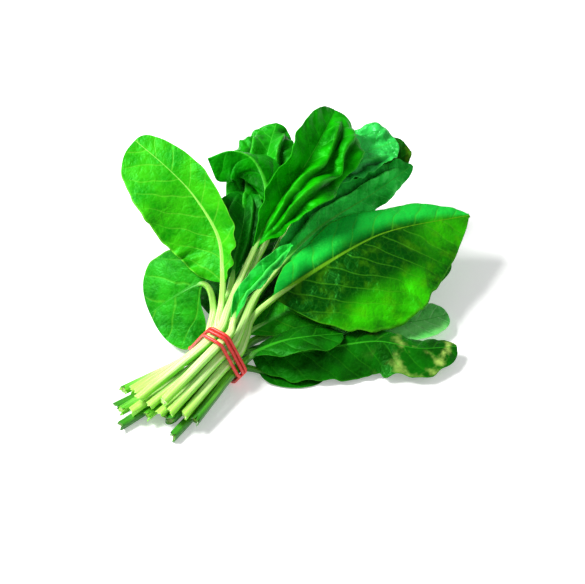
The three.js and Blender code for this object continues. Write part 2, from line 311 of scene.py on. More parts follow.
def new_group(name: str, inputs: dict[str, tuple[str, float]], output: str) -> tuple[Graph, Any, Any]:
    """An empty shader node group with named sockets.

    Args:
        name: the group's name.
        inputs: kind of socket and value by name.
        output: name of its one output, a number.

    Returns:
        Its graph, its input node and its output node.
    """
    tree = bpy.data.node_groups.new(name, "ShaderNodeTree")
    for key, (kind, value) in inputs.items():
        made = tree.interface.new_socket(key, in_out="INPUT", socket_type=kind)
        if kind == "NodeSocketFloat":
            made.default_value = value
    tree.interface.new_socket(output, in_out="OUTPUT", socket_type="NodeSocketFloat")
    graph = Graph(tree)
    return graph, graph.node("NodeGroupInput"), graph.node("NodeGroupOutput")


class SharedEffects:
    """Shader node groups that more than one finish places."""

    def __init__(self) -> None:
        """Builds each group once."""
        self.veins = self._veins()
        self.net = self._net()
        self.mottle = self._mottle()

    @staticmethod
    def _veins() -> bpy.types.NodeTree:
        """Lines where a coordinate is a whole number, such as side veins.

        Returns:
            The group.
        """
        sockets = {"Coordinate": ("NodeSocketFloat", 0.0), "Width": ("NodeSocketFloat", 0.05)}
        graph, start, end = new_group("side_veins", sockets, "Mask")
        shifted = graph.math("ADD", start.outputs["Coordinate"], 0.5)
        away = graph.math("ABSOLUTE", graph.math("SUBTRACT", graph.math("FRACT", shifted), 0.5))
        mask = graph.math("SUBTRACT", 1.0, graph.span(away, 0.0, start.outputs["Width"]))
        graph.feed(end, {0: mask})
        return graph.tree

    @staticmethod
    def _net() -> bpy.types.NodeTree:
        """The fine net of veins between the side veins.

        Returns:
            The group.
        """
        sockets = {
            "Vector": ("NodeSocketVector", 0.0),
            "Scale": ("NodeSocketFloat", 3.0),
            "Width": ("NodeSocketFloat", 0.12),
        }
        graph, start, end = new_group("vein_net", sockets, "Mask")
        place, scale, width = (start.outputs[name] for name in sockets)
        warp = graph.node("ShaderNodeTexNoise", {"Vector": place, "Scale": 1.3, "Detail": 1.0})
        bent = graph.node(
            "ShaderNodeVectorMath", {0: warp.outputs["Color"], 1: (0.5, 0.5, 0.5)}, operation="SUBTRACT"
        )
        moved = graph.node(
            "ShaderNodeVectorMath",
            {0: bent.outputs[0], 1: (0.35, 0.35, 0.0), 2: place},
            operation="MULTIPLY_ADD",
        )
        cells = graph.node(
            "ShaderNodeTexVoronoi",
            {"Vector": moved.outputs[0], "Scale": scale},
            feature="DISTANCE_TO_EDGE",
            voronoi_dimensions="2D",
        )
        mask = graph.math("SUBTRACT", 1.0, graph.span(cells.outputs["Distance"], 0.0, width))
        graph.feed(end, {0: mask})
        return graph.tree

    @staticmethod
    def _mottle() -> bpy.types.NodeTree:
        """Soft uneven patches.

        Returns:
            The group.
        """
        sockets = {
            "Vector": ("NodeSocketVector", 0.0),
            "Scale": ("NodeSocketFloat", 1.0),
            "Low": ("NodeSocketFloat", 0.35),
            "High": ("NodeSocketFloat", 0.65),
        }
        graph, start, end = new_group("mottle", sockets, "Mask")
        place, scale, low, high = (start.outputs[name] for name in sockets)
        mask = graph.span(graph.noise(place, scale, detail=4.0), low, high)
        graph.feed(end, {0: mask})
        return graph.tree


def new_material(name: str) -> tuple[bpy.types.Material, Graph, bpy.types.Node, bpy.types.Node]:
    """A material with only a Principled shader and its output.

    Args:
        name: the material's name.

    Returns:
        The material, its graph, its Principled node and its output node.
    """
    material = bpy.data.materials.new(name)
    material.use_nodes = True
    material.node_tree.nodes.clear()
    graph = Graph(material.node_tree)
    shader = graph.node("ShaderNodeBsdfPrincipled")
    output = graph.node("ShaderNodeOutputMaterial", {"Surface": shader.outputs[0]})
    return material, graph, shader, output


# Painted shade: the dark green laid into the valley beside each crease.
CREASE_SHADE: Colour = (0.0, 0.02, 0.0)


@dataclass(frozen=True)
class BladeFinish:
    """Colours of a leaf's blade, and how it takes the light.

    deep and bright alternate in patches. blotch stains it from a share of its length onwards, left
    is a painted highlight, a bluish tint on its left half where it faces up to the light, under tints
    its lower side, and shade is painted shade between two distances from the midrib. glow is the share
    of light that comes through.
    """

    name: str
    slot: Slot
    deep: Colour
    bright: Colour
    vein: Colour
    rib: Colour
    blotch: Colour = (0.16, 0.24, 0.01)
    blotches: float = 0.0
    blotch_from: float = 0.0
    under: Colour = (0.03, 0.30, 0.02)
    sheen: Colour = (0.12, 1.0, 0.16)
    left: Colour = (0.01, 0.40, 0.03)
    lit_left_share: float = 0.0
    lit_left_from: float = 0.1
    shade: float = 0.0
    shade_near: float = 6.0
    shade_far: float = 26.0
    shade_tip: float = 1.0
    patch_scale: float = 0.55
    lines: float = 0.32
    pucker: float = 4.0
    roughness: float = 0.40
    glow: float = 0.18

    def material(self, effects: SharedEffects) -> bpy.types.Material:
        """The blade's material.

        Args:
            effects: the shared node groups.

        Returns:
            The material.
        """
        material, g, shader, output = new_material(self.name)
        place = g.node("ShaderNodeTexCoord").outputs["UV"]
        edge, below = g.attribute("edge"), g.attribute("under")
        specks = g.group(effects.mottle, {"Vector": place, "Scale": 5.0, "Low": 0.35, "High": 0.75})
        net = g.group(effects.net, {"Vector": place, "Scale": 2.6, "Width": 0.16})
        lines = g.group(effects.veins, {"Coordinate": g.attribute("vein"), "Width": 0.075})
        lines = g.math("MULTIPLY", lines, g.span(edge, 0.55, 1.0, (1.0, 0.25)))

        colour = self._tissue(g, effects, place, specks)
        layers = (
            (net, 0.05, self.vein),
            (below, 0.35, self.under),
            (lines, self.lines, self.vein),
            (g.span(edge, 0.95, 1.0), 0.7, self.vein),
            # Painted highlight along each crease's ridge, in the vein colour.
            (g.attribute("brink"), 0.7, self.vein),
            # Painted shade in the valley beside each crease.
            (g.attribute("hollow"), 0.75, CREASE_SHADE),
        )
        for mask, strength, tint in layers:
            colour = g.mix(g.math("MULTIPLY", mask, strength), colour, tint)
        colour = g.mix(self._rib_mask(g), colour, self.rib)

        dull = g.span(specks, 0.0, 1.0, (self.roughness, self.roughness + 0.14))
        dull = g.math("ADD", dull, g.math("MULTIPLY", below, 0.18))
        normal = self._relief(g, place, net, lines)
        g.feed(shader, {"Base Color": colour, "Roughness": dull, "Normal": normal})
        g.feed(shader, {"Specular IOR Level": 0.5, "Specular Tint": (*self.sheen, 1)})
        through = g.node("ShaderNodeBsdfTranslucent", {"Color": colour, "Normal": normal})
        both = {0: self.glow, 1: shader.outputs[0], 2: through.outputs[0]}
        g.feed(output, {"Surface": g.node("ShaderNodeMixShader", both).outputs[0]})
        return material

    def _tissue(self, g: Graph, effects: SharedEffects, place: Socket, specks: Socket) -> Socket:
        """Colour between the veins: patches, painted shade by the midrib, stains, painted light on the
        left half.

        Args:
            g: the material's graph.
            effects: the shared node groups.
            place: where on the blade.
            specks: mask of the small light patches.

        Returns:
            The colour's socket.
        """
        share = g.attribute("share")
        patches = {"Vector": place, "Scale": self.patch_scale, "Low": 0.3, "High": 0.7}
        colour = g.mix(g.group(effects.mottle, patches), self.deep, self.bright)
        colour = g.mix(g.math("MULTIPLY", specks, 0.25), colour, self.bright)
        # Painted shade: darker from shade_near to shade_far out from the midrib, less so towards the
        # tip.
        shaded = g.span(g.attribute("across"), self.shade_near, self.shade_far, (self.shade, 0.0))
        shaded = g.math("MULTIPLY", shaded, g.span(share, 0.62, 0.9, (1.0, self.shade_tip)))
        colour = g.mix(shaded, colour, self.deep)
        stain = g.group(effects.mottle, {"Vector": place, "Scale": 0.9, "Low": 0.5, "High": 0.72})
        at_base = 0.0 if self.blotch_from else self.blotches
        stained = g.span(share, self.blotch_from, 1.0, (at_base, self.blotches))
        colour = g.mix(g.math("MULTIPLY", stain, stained), colour, self.blotch)
        # Painted highlight: the left half, which faces up to the light, takes the bluish left colour.
        lit_left = g.span(g.attribute("side"), 0.0, self.lit_left_from)
        return g.mix(g.math("MULTIPLY", lit_left, self.lit_left_share), colour, self.left)

    @staticmethod
    def _rib_mask(g: Graph) -> Socket:
        """Where the midrib shows, which narrows towards the tip.

        Args:
            g: the material's graph.

        Returns:
            The mask's socket.
        """
        share = g.attribute("share")
        outside, inside = g.span(share, 0.0, 0.8, (1.9, 0.35)), g.span(share, 0.0, 0.8, (0.8, 0.0))
        return g.span(g.attribute("across"), outside, inside)

    def _relief(self, g: Graph, place: Socket, net: Socket, lines: Socket) -> Socket:
        """Normals of the grain, the puckers and the sunken veins.

        Args:
            g: the material's graph.
            place: where on the blade.
            net: mask of the fine veins.
            lines: mask of the side veins.

        Returns:
            The normals' socket.
        """
        dents = g.math("MAXIMUM", g.math("MULTIPLY", net, 0.22), g.math("MULTIPLY", lines, 0.6))
        grain = g.math("MULTIPLY", g.noise(place, 9.0, detail=3.0), 0.4)
        pucker = g.noise(place, 2.2, detail=2.0, distortion=0.4)
        height = g.math("MULTIPLY_ADD", pucker, self.pucker, g.math("SUBTRACT", grain, dents))
        return g.bump(height, 0.45, 0.0005)


@dataclass(frozen=True)
class StalkFinish:
    """Colours of a stalk from its cut end to the midrib of its blade, with painted shade on its sides.
    """

    name: str
    slot: Slot
    end: Colour
    middle: Colour
    far: Colour
    # Colour of the stalk's green streaks, also laid on its flanks as painted shade.
    streak_and_shade: Colour
    cut: Colour
    flank_shade: float = 0.9

    def material(self, effects: SharedEffects, rib: Colour) -> bpy.types.Material:
        """The stalk's material.

        Args:
            effects: the shared node groups.
            rib: colour of the midrib that it runs into.

        Returns:
            The material.
        """
        material, g, shader, _ = new_material(self.name)
        ring = g.attribute("ring", "Vector")
        along = g.attribute("along")
        lengthwise = g.node("ShaderNodeCombineXYZ", {0: g.math("MULTIPLY", along, 22.0)}).outputs[0]
        place = g.node(
            "ShaderNodeVectorMath",
            {0: ring, 1: (2.2, 2.2, 2.2), 2: lengthwise},
            operation="MULTIPLY_ADD",
        ).outputs[0]
        streaks = g.group(effects.mottle, {"Vector": place, "Scale": 1.6, "Low": 0.4, "High": 0.66})
        stage = g.attribute("stage")
        skin = g.mix(g.span(stage, 0.02, 0.6), self.end, self.middle)
        skin = g.mix(g.span(stage, 1.1, 2.0), skin, self.far)
        skin = g.mix(g.math("MULTIPLY", streaks, 0.7), skin, self.streak_and_shade)
        places = g.node("ShaderNodeSeparateXYZ", {0: ring}).outputs
        # Painted shade: the stalk's flanks and lower side take the streak colour.
        shaded_flanks = g.span(g.math("ABSOLUTE", places[0]), 0.74, 1.0, (0.0, self.flank_shade))
        below = g.span(places[1], -0.1, 0.6, (0.0, self.flank_shade))
        skin = g.mix(g.math("MAXIMUM", shaded_flanks, below), skin, self.streak_and_shade)
        skin = g.mix(g.span(stage, 1.9, 2.15), skin, rib)
        skin = g.mix(g.attribute("cut"), skin, self.cut)
        dull = g.span(streaks, 0.0, 1.0, (0.26, 0.38))
        normal = g.bump(g.noise(place, 5.0, detail=3.0), 0.4, 0.0003)
        g.feed(shader, {"Base Color": skin, "Roughness": dull, "Normal": normal})
        g.feed(shader, {"Subsurface Weight": 0.12, "Subsurface Scale": 0.002})
        g.feed(shader, {"Subsurface Radius": (0.4, 1.0, 0.15)})
        return material


@dataclass(frozen=True)
class RubberFinish:
    """Stretched red rubber."""

    name: str = "stretched_rubber"
    slot: Slot = Slot.BAND
    main: Colour = (0.78, 0.030, 0.026)
    worn: Colour = (0.82, 0.12, 0.09)

    def material(self, effects: SharedEffects) -> bpy.types.Material:
        """The band's material.

        Args:
            effects: the shared node groups.

        Returns:
            The material.
        """
        material, g, shader, _ = new_material(self.name)
        place = g.node("ShaderNodeTexCoord").outputs["Object"]
        bloom = g.group(effects.mottle, {"Vector": place, "Scale": 420.0, "Low": 0.42, "High": 0.7})
        colour = g.mix(g.math("MULTIPLY", bloom, 0.5), self.main, self.worn)
        dull = g.span(bloom, 0.0, 1.0, (0.30, 0.44))
        normal = g.bump(g.noise(place, 1800.0, detail=2.0), 0.25, 0.0001)
        g.feed(shader, {"Base Color": colour, "Roughness": dull, "Normal": normal})
        return material


Finish = BladeFinish | StalkFinish | RubberFinish

SPRING = BladeFinish(
    "spring_green",
    Slot.BLADE_BRIGHT,
    deep=(0.005, 0.34, 0.000),
    bright=(0.050, 0.60, 0.003),
    vein=(0.24, 0.82, 0.05),
    rib=(0.36, 0.86, 0.12),
    glow=0.25,
)
FRESH = BladeFinish(
    "fresh_green",
    Slot.BLADE_BRIGHT,
    deep=(0.002, 0.18, 0.000),
    bright=(0.012, 0.50, 0.004),
    vein=(0.07, 0.62, 0.03),
    rib=(0.05, 0.50, 0.02),
)
FLAP = replace(
    FRESH,
    name="flap_green",
    deep=(0.0, 0.12, 0.0),
    bright=(0.003, 0.30, 0.0),
    vein=(0.02, 0.46, 0.01),
    sheen=(0.04, 1.0, 0.05),
    glow=0.08,
)
CREST = replace(
    FRESH,
    name="crest_green",
    deep=(0.0, 0.14, 0.0),
    bright=(0.006, 0.50, 0.0),
    vein=(0.03, 0.58, 0.01),
    sheen=(0.06, 1.0, 0.06),
    glow=0.10,
)
COOL = BladeFinish(
    "cool_green",
    Slot.BLADE_BRIGHT,
    deep=(0.001, 0.26, 0.006),
    bright=(0.008, 0.62, 0.035),
    vein=(0.04, 0.66, 0.05),
    rib=(0.05, 0.52, 0.03),
    sheen=(0.2, 1.0, 0.35),
)
# Painted highlight: a lighter, bluer copy of the cool green for the crinkled leaf's bluish highlights.
CRISP = replace(
    COOL,
    name="crisp_green",
    deep=(0.010, 0.40, 0.035),
    bright=(0.05, 0.88, 0.13),
    sheen=(0.4, 1.0, 0.6),
    pucker=9.0,
    roughness=0.30,
)
# Painted light: a lighter copy of the cool green for the rolled leaves lying in the crest's shadow.
ROLLED = replace(
    COOL,
    name="rolled_green",
    deep=(0.002, 0.34, 0.01),
    bright=(0.03, 0.86, 0.08),
    vein=(0.10, 0.90, 0.12),
    sheen=(0.15, 1.0, 0.25),
    pucker=7.0,
)
# Painted light: a much lighter copy of the cool green for the leaf tip in the big leaf's shadow.
VEINED = replace(
    COOL,
    name="veined_green",
    deep=(0.07, 0.62, 0.08),
    bright=(0.28, 0.95, 0.24),
    vein=(0.50, 0.98, 0.42),
    lines=0.6,
)
BROAD = BladeFinish(
    "broad_leaf_green",
    Slot.BLADE_BRIGHT,
    deep=(0.000, 0.042, 0.000),
    bright=(0.040, 0.66, 0.000),
    vein=(0.08, 0.42, 0.01),
    rib=(0.12, 0.36, 0.01),
    blotch=(0.10, 0.40, 0.0),
    blotches=0.25,
    # Painted highlight: the bluish tint of the upturned left half.
    left=(0.010, 0.62, 0.05),
    lit_left_share=0.85,
    lit_left_from=0.45,
    # Painted shade over the middle of the right half.
    shade=1.0,
    shade_near=24.0,
    shade_far=43.0,
    shade_tip=0.25,
    patch_scale=0.3,
    sheen=(0.06, 1.0, 0.08),
    glow=0.08,
)
# Painted shade: a darker copy of the leaf green for the leaf that stands in shadow behind the stalks.
MIDDLE = BladeFinish(
    "middle_green",
    Slot.BLADE_DEEP,
    deep=(0.001, 0.08, 0.001),
    bright=(0.004, 0.26, 0.004),
    vein=(0.03, 0.38, 0.02),
    rib=(0.05, 0.44, 0.03),
    sheen=(0.1, 0.9, 0.12),
)
# Painted shade: a darker copy of the leaf green for the low leaf at the left and the leaf behind.
LOW = replace(
    MIDDLE,
    name="low_leaf_green",
    slot=Slot.BLADE_BRIGHT,
    deep=(0.002, 0.16, 0.001),
    bright=(0.02, 0.42, 0.006),
    vein=(0.16, 0.62, 0.03),
)
# Painted shade: a much darker copy of the leaf green for leaves lying low in the bunch's shadow; CURLED
# and DARK_SPOTTED build on it.
DARK = BladeFinish(
    "deep_green",
    Slot.BLADE_DEEP,
    deep=(0.001, 0.045, 0.000),
    bright=(0.003, 0.15, 0.001),
    vein=(0.03, 0.32, 0.006),
    rib=(0.03, 0.34, 0.01),
    under=(0.004, 0.12, 0.003),
    sheen=(0.08, 0.7, 0.08),
    glow=0.08,
)
CURLED = replace(
    DARK,
    name="curled_green",
    bright=(0.01, 0.24, 0.001),
    blotch=(0.22, 0.42, 0.01),
    blotches=0.6,
    blotch_from=0.5,
)
DARK_SPOTTED = replace(
    DARK, name="deep_green_worn", blotch=(0.58, 0.84, 0.16), blotches=1.0, blotch_from=0.5
)

PALE_STALK = StalkFinish(
    "pale_stalk",
    Slot.STALK_PALE,
    end=(0.48, 0.82, 0.12),
    middle=(0.74, 0.97, 0.40),
    far=(0.66, 0.94, 0.26),
    streak_and_shade=(0.20, 0.72, 0.02),
    cut=(0.78, 0.90, 0.42),
)
LOW_STALK = replace(PALE_STALK, name="pale_stalk_low", end=(0.04, 0.36, 0.004), cut=(0.30, 0.56, 0.08))
GREEN_STALK = StalkFinish(
    "green_stalk",
    Slot.STALK_GREEN,
    end=(0.035, 0.30, 0.002),
    middle=(0.16, 0.58, 0.03),
    far=(0.10, 0.46, 0.02),
    streak_and_shade=(0.01, 0.16, 0.001),
    cut=(0.12, 0.30, 0.02),
)


@dataclass(frozen=True)
class Half:
    """One half of a blade, from its midrib to its edge.

    width is in millimetres. broadest says where along the blade the half is widest, and tip is
    larger where it is drawn out to a point. lift and curl are in degrees from base to tip. wave is
    the height, number and phase of the waves along its edge, and pleat the same for deeper folds
    over the whole half, with how far they slant.
    """

    width: float
    lift: tuple[float, ...]
    broadest: float = 0.5
    tip: float = 0.5
    curl: tuple[float, ...] = (0, 0)
    wave: tuple[float, float, float] = (0, 0, 0)
    pleat: tuple[float, float, float, float] = (0, 0, 0, 0)


@dataclass(frozen=True)
class Relief:
    """Fine shape of a blade, in millimetres."""

    quilt: float = 0.8
    crinkle: float = 0.7
    crinkle_size: float = 15.0
    ruffle: float = 0.7
    ruffle_size: float = 12.0
    vein_pitch: float = 13.0
    ragged: float = 0.03
    frill: float = 0.0


SMOOTH = Relief(
    quilt=0.5, crinkle=0.6, crinkle_size=20.0, ruffle=0.5, ruffle_size=14.0, vein_pitch=15.0
)
LIVELY = Relief(
    quilt=0.8, crinkle=1.6, crinkle_size=13.0, ruffle=1.3, ruffle_size=8.0, vein_pitch=12.0
)
CRUMPLED = Relief(
    quilt=1.0, crinkle=2.4, crinkle_size=9.0, ruffle=1.8, ruffle_size=6.5, vein_pitch=10.0
)
PRESSED = Relief(quilt=0.15, crinkle=0.15, ruffle=0.2)


@dataclass(frozen=True)
class Crease:
    """A fold along one half of a blade that rises towards its edge and drops steeply there.

    base and tip are its places there as shares of the half-width, and side is 1 on the left half
    and -1 on the right. height, reach and drop are in millimetres.
    """

    NEAREST = 0.04
    WANDER_SIZE = 14.0
    RAMP = 0.25
    FADE = 0.2

    side: int
    base: float
    tip: float
    height: float
    start: float = 0.05
    stop: float = 0.97
    wander: float = 0.07
    reach: float = 9.0
    drop: float = 1.3

    def line(self, v: np.ndarray, length: float, uneven: Unevenness) -> np.ndarray:
        """Where the crease lies, as a share of the half-width.

        Args:
            v: share of the blade's length.
            length: that length in millimetres.
            uneven: what makes the line wander.

        Returns:
            One share for each v.
        """
        wander = uneven.at(v * length / self.WANDER_SIZE + 70, 11 * self.base + 0 * v)
        line = self.base + (self.tip - self.base) * v + self.wander * wander
        return np.clip(line, self.NEAREST, 1 - self.NEAREST)

    def on(self, v: np.ndarray) -> np.ndarray:
        """How far the crease is raised along the blade, from 0 to 1."""
        return smooth(self.start, self.start + self.RAMP, v) * smooth(0, self.FADE, self.stop - v)

    def profile(self, x: np.ndarray) -> np.ndarray:
        """Its height beside its line.

        Args:
            x: distance outward from the line, in millimetres.

        Returns:
            Shares of its full height.
        """
        rise = smooth(-self.reach, 0, x) ** 1.5
        fall = 1 - 1.5 * smooth(0, self.drop, x) + 0.5 * smooth(self.drop, self.reach, x)
        return np.where(x <= 0, rise, fall)


@dataclass(frozen=True)
class LeafPlan:
    """Where a leaf runs and how its blade is shaped and finished.

    slot is its row and column in the tie. cut is how far its stalk stands out behind the tie, and
    stem how far it runs ahead of it before the blade starts. path lists the points that its middle
    line passes on its way to the tip. lobe is how far the blade's base reaches back beside the
    stalk, and rib is how much of the midrib's thickness is kept towards the tip.
    """

    name: str
    slot: tuple[int, int]
    cut: float
    stem: float
    path: tuple[tuple[float, float, float], ...]
    left: Half
    right: Half
    finish: BladeFinish
    lobe: float = 0.0
    relief: Relief = field(default_factory=Relief)
    rib: float = 0.3
    creases: tuple[Crease, ...] = ()

    @property
    def green_stem(self) -> bool:
        """Whether its stalk is green all along."""
        return self.name in GREEN_STEMS

    @property
    def torn(self) -> bool:
        """Whether its cut end is deeply torn, as on green and on low stalks."""
        return self.green_stem or self.slot[0] < LOW_ROWS


GREEN_STEMS = ("right_tip", "bottom_right", "table_right", "right_fold", "table_left", "table_back")
LOW_ROWS = 2

LEAVES: tuple[LeafPlan, ...] = (
    LeafPlan(
        "upper_left", (3, 0), 52, 42,
        ((27, 17, 31), (39, 25, 43), (54, 40, 54), (62, 64, 68), (64, 87, 79), (66, 115, 87)),
        Half(34, (-20, -28, -24, -20), broadest=0.55, tip=0.4, curl=(10, 15, 10, 0), wave=(1.5, 2, 0)),
        Half(16, (40, 45, 40, 30), broadest=0.6, tip=0.4, curl=(20, 10, 0, -20), wave=(2, 2, 0.3)),
        SPRING, lobe=8, relief=replace(SMOOTH, quilt=0.2, frill=2.2), rib=0.8,
    ),
    LeafPlan(
        "left_low", (1, 0), 50, 48,
        ((27, 24, 20), (32, 31, 30), (30, 38, 32), (20, 48, 24), (7, 60, 11)),
        Half(36, (-42, -36, -30, -18), broadest=0.62, wave=(1.2, 2, 0.1)),
        Half(31, (36, 36, 34, 28), broadest=0.45, curl=(0, -20, -20, 0), wave=(1, 2, 0)),
        LOW, relief=replace(SMOOTH, quilt=0.25, vein_pitch=19.0), rib=0.5,
    ),
    LeafPlan(
        "left_fold", (3, 1), 55, 112,
        (
            (40, 10, 26), (60, 18, 34), (80, 21, 43), (92, 29, 54),
            (102, 39, 66), (106, 52, 76), (102, 66, 78), (93, 78, 72),
        ),
        Half(19, (-60, -62, -58, -50), broadest=0.8, tip=0.1, wave=(1.5, 2, 0), pleat=(1, 2.5, 0, 0.3)),
        Half(17, (-5, -20, -35, -45), tip=0.3, curl=(-5, -20, -20, 0), wave=(2, 2, 0.5)),
        FLAP, relief=SMOOTH, rib=0.0,
    ),
    LeafPlan(
        "left_centre", (2, 0), 50, 50,
        ((35, 18, 29), (56, 28, 39), (74, 36, 47), (88, 44, 52), (98, 52, 53)),
        Half(23, (15, 10, 10, 10), wave=(2, 2.5, 0.2), pleat=(2.5, 2, 0, 0.3)),
        Half(12, (15, 10, 10, 10), broadest=0.6, wave=(1, 2, 0)),
        MIDDLE, lobe=3, relief=LIVELY,
        creases=(Crease(1, 0.5, 0.45, 3.5), Crease(-1, 0.5, 0.45, 2.0)),
    ),
    LeafPlan(
        "top_left_back", (2, 1), 62, 78,
        ((47, 19, 24), (77, 31, 38), (109, 47, 54), (132, 57, 67), (150, 65, 70)),
        Half(24, (0, 0, 0, -10), broadest=0.6, tip=0.4,
             curl=(10, 10, 0, -30), wave=(2.5, 2, 0.2), pleat=(3, 2, 0.6, 0.3)),
        Half(17, (0, 0, 0, -10), broadest=0.6, tip=0.4,
             curl=(10, 10, 0, -30), wave=(2, 2.5, 0), pleat=(2.5, 2.5, 0.3, 0.3)),
        FRESH, lobe=3, relief=CRUMPLED, rib=0.1,
        creases=(Crease(1, 0.4, 0.5, 4.0), Crease(-1, 0.5, 0.45, 3.5)),
    ),
    LeafPlan(
        "central_crest", (4, 0), 56, 70,
        (
            (40, 14, 37), (57, 18, 43), (77, 22, 50), (99, 23, 61),
            (119, 21, 74), (144, 24, 83), (167, 30, 86),
        ),
        Half(18, (55, 62, 60, 40), broadest=0.6, curl=(10, 10, 0, 0), wave=(2.5, 2.5, 0)),
        Half(30, (14, 12, 12, 10), broadest=0.65, tip=0.5,
             curl=(0, -30, -70, -75), wave=(4, 2.5, 0.15), pleat=(4.5, 2.4, 0.1, 0.35)),
        CREST, lobe=4, relief=LIVELY, rib=0.2,
        creases=(Crease(-1, 0.28, 0.34, 4.2, wander=0.1), Crease(-1, 0.66, 0.68, 4.5, wander=0.12)),
    ),
    LeafPlan(
        "right_crinkled", (2, 2), 54, 113,
        ((43, 6, 21), (84, 15, 36), (124, 19, 52), (157, 9, 62), (184, -8, 67)),
        Half(24, (5, 5, 5, 0), broadest=0.6, tip=0.4, wave=(3, 2.5, 0), pleat=(2.5, 3, 0.2, 0.4)),
        Half(19, (35, 22, 5, -5), broadest=0.62, tip=0.4, wave=(2, 2.5, 0.3), pleat=(2, 3, 0, 0.4)),
        CRISP, lobe=2, relief=CRUMPLED,
        creases=(Crease(-1, 0.5, 0.6, 3.0), Crease(1, 0.45, 0.55, 4.0, start=0.35)),
    ),
    LeafPlan(
        "right_curl", (1, 1), 63, 78,
        ((50, 13, 15), (96, 10, 25), (140, 5, 34), (175, -2, 42), (199, -10, 50)),
        Half(24, (5, 5, 10, 45), broadest=0.6, tip=0.3, curl=(0, 10, 30, 60), wave=(2, 2.5, 0)),
        Half(14, (-5, -10, -10, 0), broadest=0.55, curl=(0, 0, 0, 30), wave=(2, 2.5, 0.4)),
        CURLED, lobe=2, relief=LIVELY,
    ),
    LeafPlan(
        "long_roll", (3, 2), 52, 72,
        ((47, 5, 28), (83, 4, 37), (113, 0, 42), (150, -11, 46), (189, -18, 48)),
        Half(16, (38, 34, 30, 25), curl=(-5, -20), wave=(1.5, 3, 0), pleat=(1.5, 3.5, 0, 0.4)),
        Half(11, (-50, -60, -55, -30), wave=(1, 2, 0)),
        ROLLED, relief=CRUMPLED,
        creases=(Crease(1, 0.45, 0.5, 3.0, reach=6.0),),
    ),
    LeafPlan(
        "big_right", (2, 3), 47, 54,
        ((37, -2, 23.5), (70, -12, 32), (113, -28, 39.5), (140, -41, 40), (182, -68, 35)),
        Half(22, (20, 25, 25, 10), tip=0.7, curl=(-10, -35, -35, -10), wave=(2, 2.5, 0.2)),
        Half(60, (-17, -13, -13, -20), broadest=0.45, tip=0.95,
             curl=(-5, -15, -15, 0), wave=(2.5, 2, 0.1)),
        BROAD, lobe=14, relief=replace(SMOOTH, crinkle=1.4), rib=0.4,
    ),
    LeafPlan(
        "behind_right", (1, 2), 57, 28,
        ((38, -3, 12), (68, -21, 20), (108, -40, 24), (138, -58, 20), (158, -70, 15)),
        Half(24, (0, 0), wave=(1, 2, 0)),
        Half(25, (-15, -19, -20, -18), broadest=0.58, curl=(0, -10, -15, 0), wave=(1.5, 2.5, 0)),
        LOW, lobe=3,
    ),
    LeafPlan(
        "right_tip", (0, 2), 50, 72,
        ((34, -6, 6), (58, -26, 8), (83, -54, 7.5), (104, -78, 6.5), (121, -92, 7)),
        Half(21, (0, -5), tip=0.35, wave=(1.2, 2, 0)),
        Half(17, (4, 2, 0, 0), broadest=0.6, tip=0.35, wave=(1, 2.5, 0.2)),
        VEINED, lobe=3, relief=replace(SMOOTH, vein_pitch=9.0), rib=0.6,
    ),
    LeafPlan(
        "bottom_right", (1, 3), 52, 18,
        ((21, -14, 11), (34, -36, 13), (51, -54, 14.5), (69, -73, 15), (80, -95, 13), (99, -112, 9)),
        Half(11, (-10, -12, -12, -5), tip=0.35, wave=(1, 2, 0)),
        Half(22, (-30, -32, -32, -20), broadest=0.5, tip=0.35, wave=(1.5, 2.5, 0.3)),
        DARK_SPOTTED, lobe=2, relief=Relief(ragged=0.1), rib=0.2,
    ),
    LeafPlan(
        "table_right", (0, 3), 58, 20,
        ((13, -19, 4), (18, -30, 1.5), (25, -42, 0.8), (36, -56, 0.8)),
        Half(8, (0, 0)),
        Half(9, (0, 0)),
        DARK, relief=PRESSED,
    ),
    LeafPlan(
        "right_fold", (1, 4), 44, 14,
        ((19, -18, 16), (32, -28, 19.5), (46, -40, 19), (60, -52, 16.5)),
        Half(10, (-12, -12), broadest=0.6, wave=(1, 2, 0)),
        Half(15, (8, 8), broadest=0.6, tip=0.4, wave=(1.5, 2, 0.2)),
        DARK,
    ),
    LeafPlan(
        "table_left", (0, 0), 60, 34,
        ((30, 20, 8), (60, 36, 11), (93, 48, 13), (128, 59, 15)),
        Half(25, (-10, -10), wave=(1.5, 2, 0)),
        Half(27, (0, 0), wave=(1.5, 2, 0.3)),
        DARK, lobe=2,
    ),
    LeafPlan(
        "table_back", (0, 1), 70, 46,
        ((30, 5, 5), (60, 8, 0.5), (95, 13, 0), (130, 18, 2), (160, 22, 10)),
        Half(27, (0, 0)),
        Half(27, (0, 0)),
        DARK, lobe=2, relief=PRESSED,
    ),
    LeafPlan(
        "inner_small", (4, 1), 50, 18,
        ((26, 3, 38), (42, 3, 42), (60, 2, 46), (78, 0, 50)),
        Half(7, (40, 40), wave=(1.2, 3, 0)),
        Half(8, (30, 30), wave=(1.5, 3, 0.4)),
        ROLLED, relief=replace(LIVELY, crinkle=1.3, crinkle_size=7.0, ruffle=1.0),
        creases=(Crease(-1, 0.5, 0.55, 1.6, reach=4.0),),
    ),
)


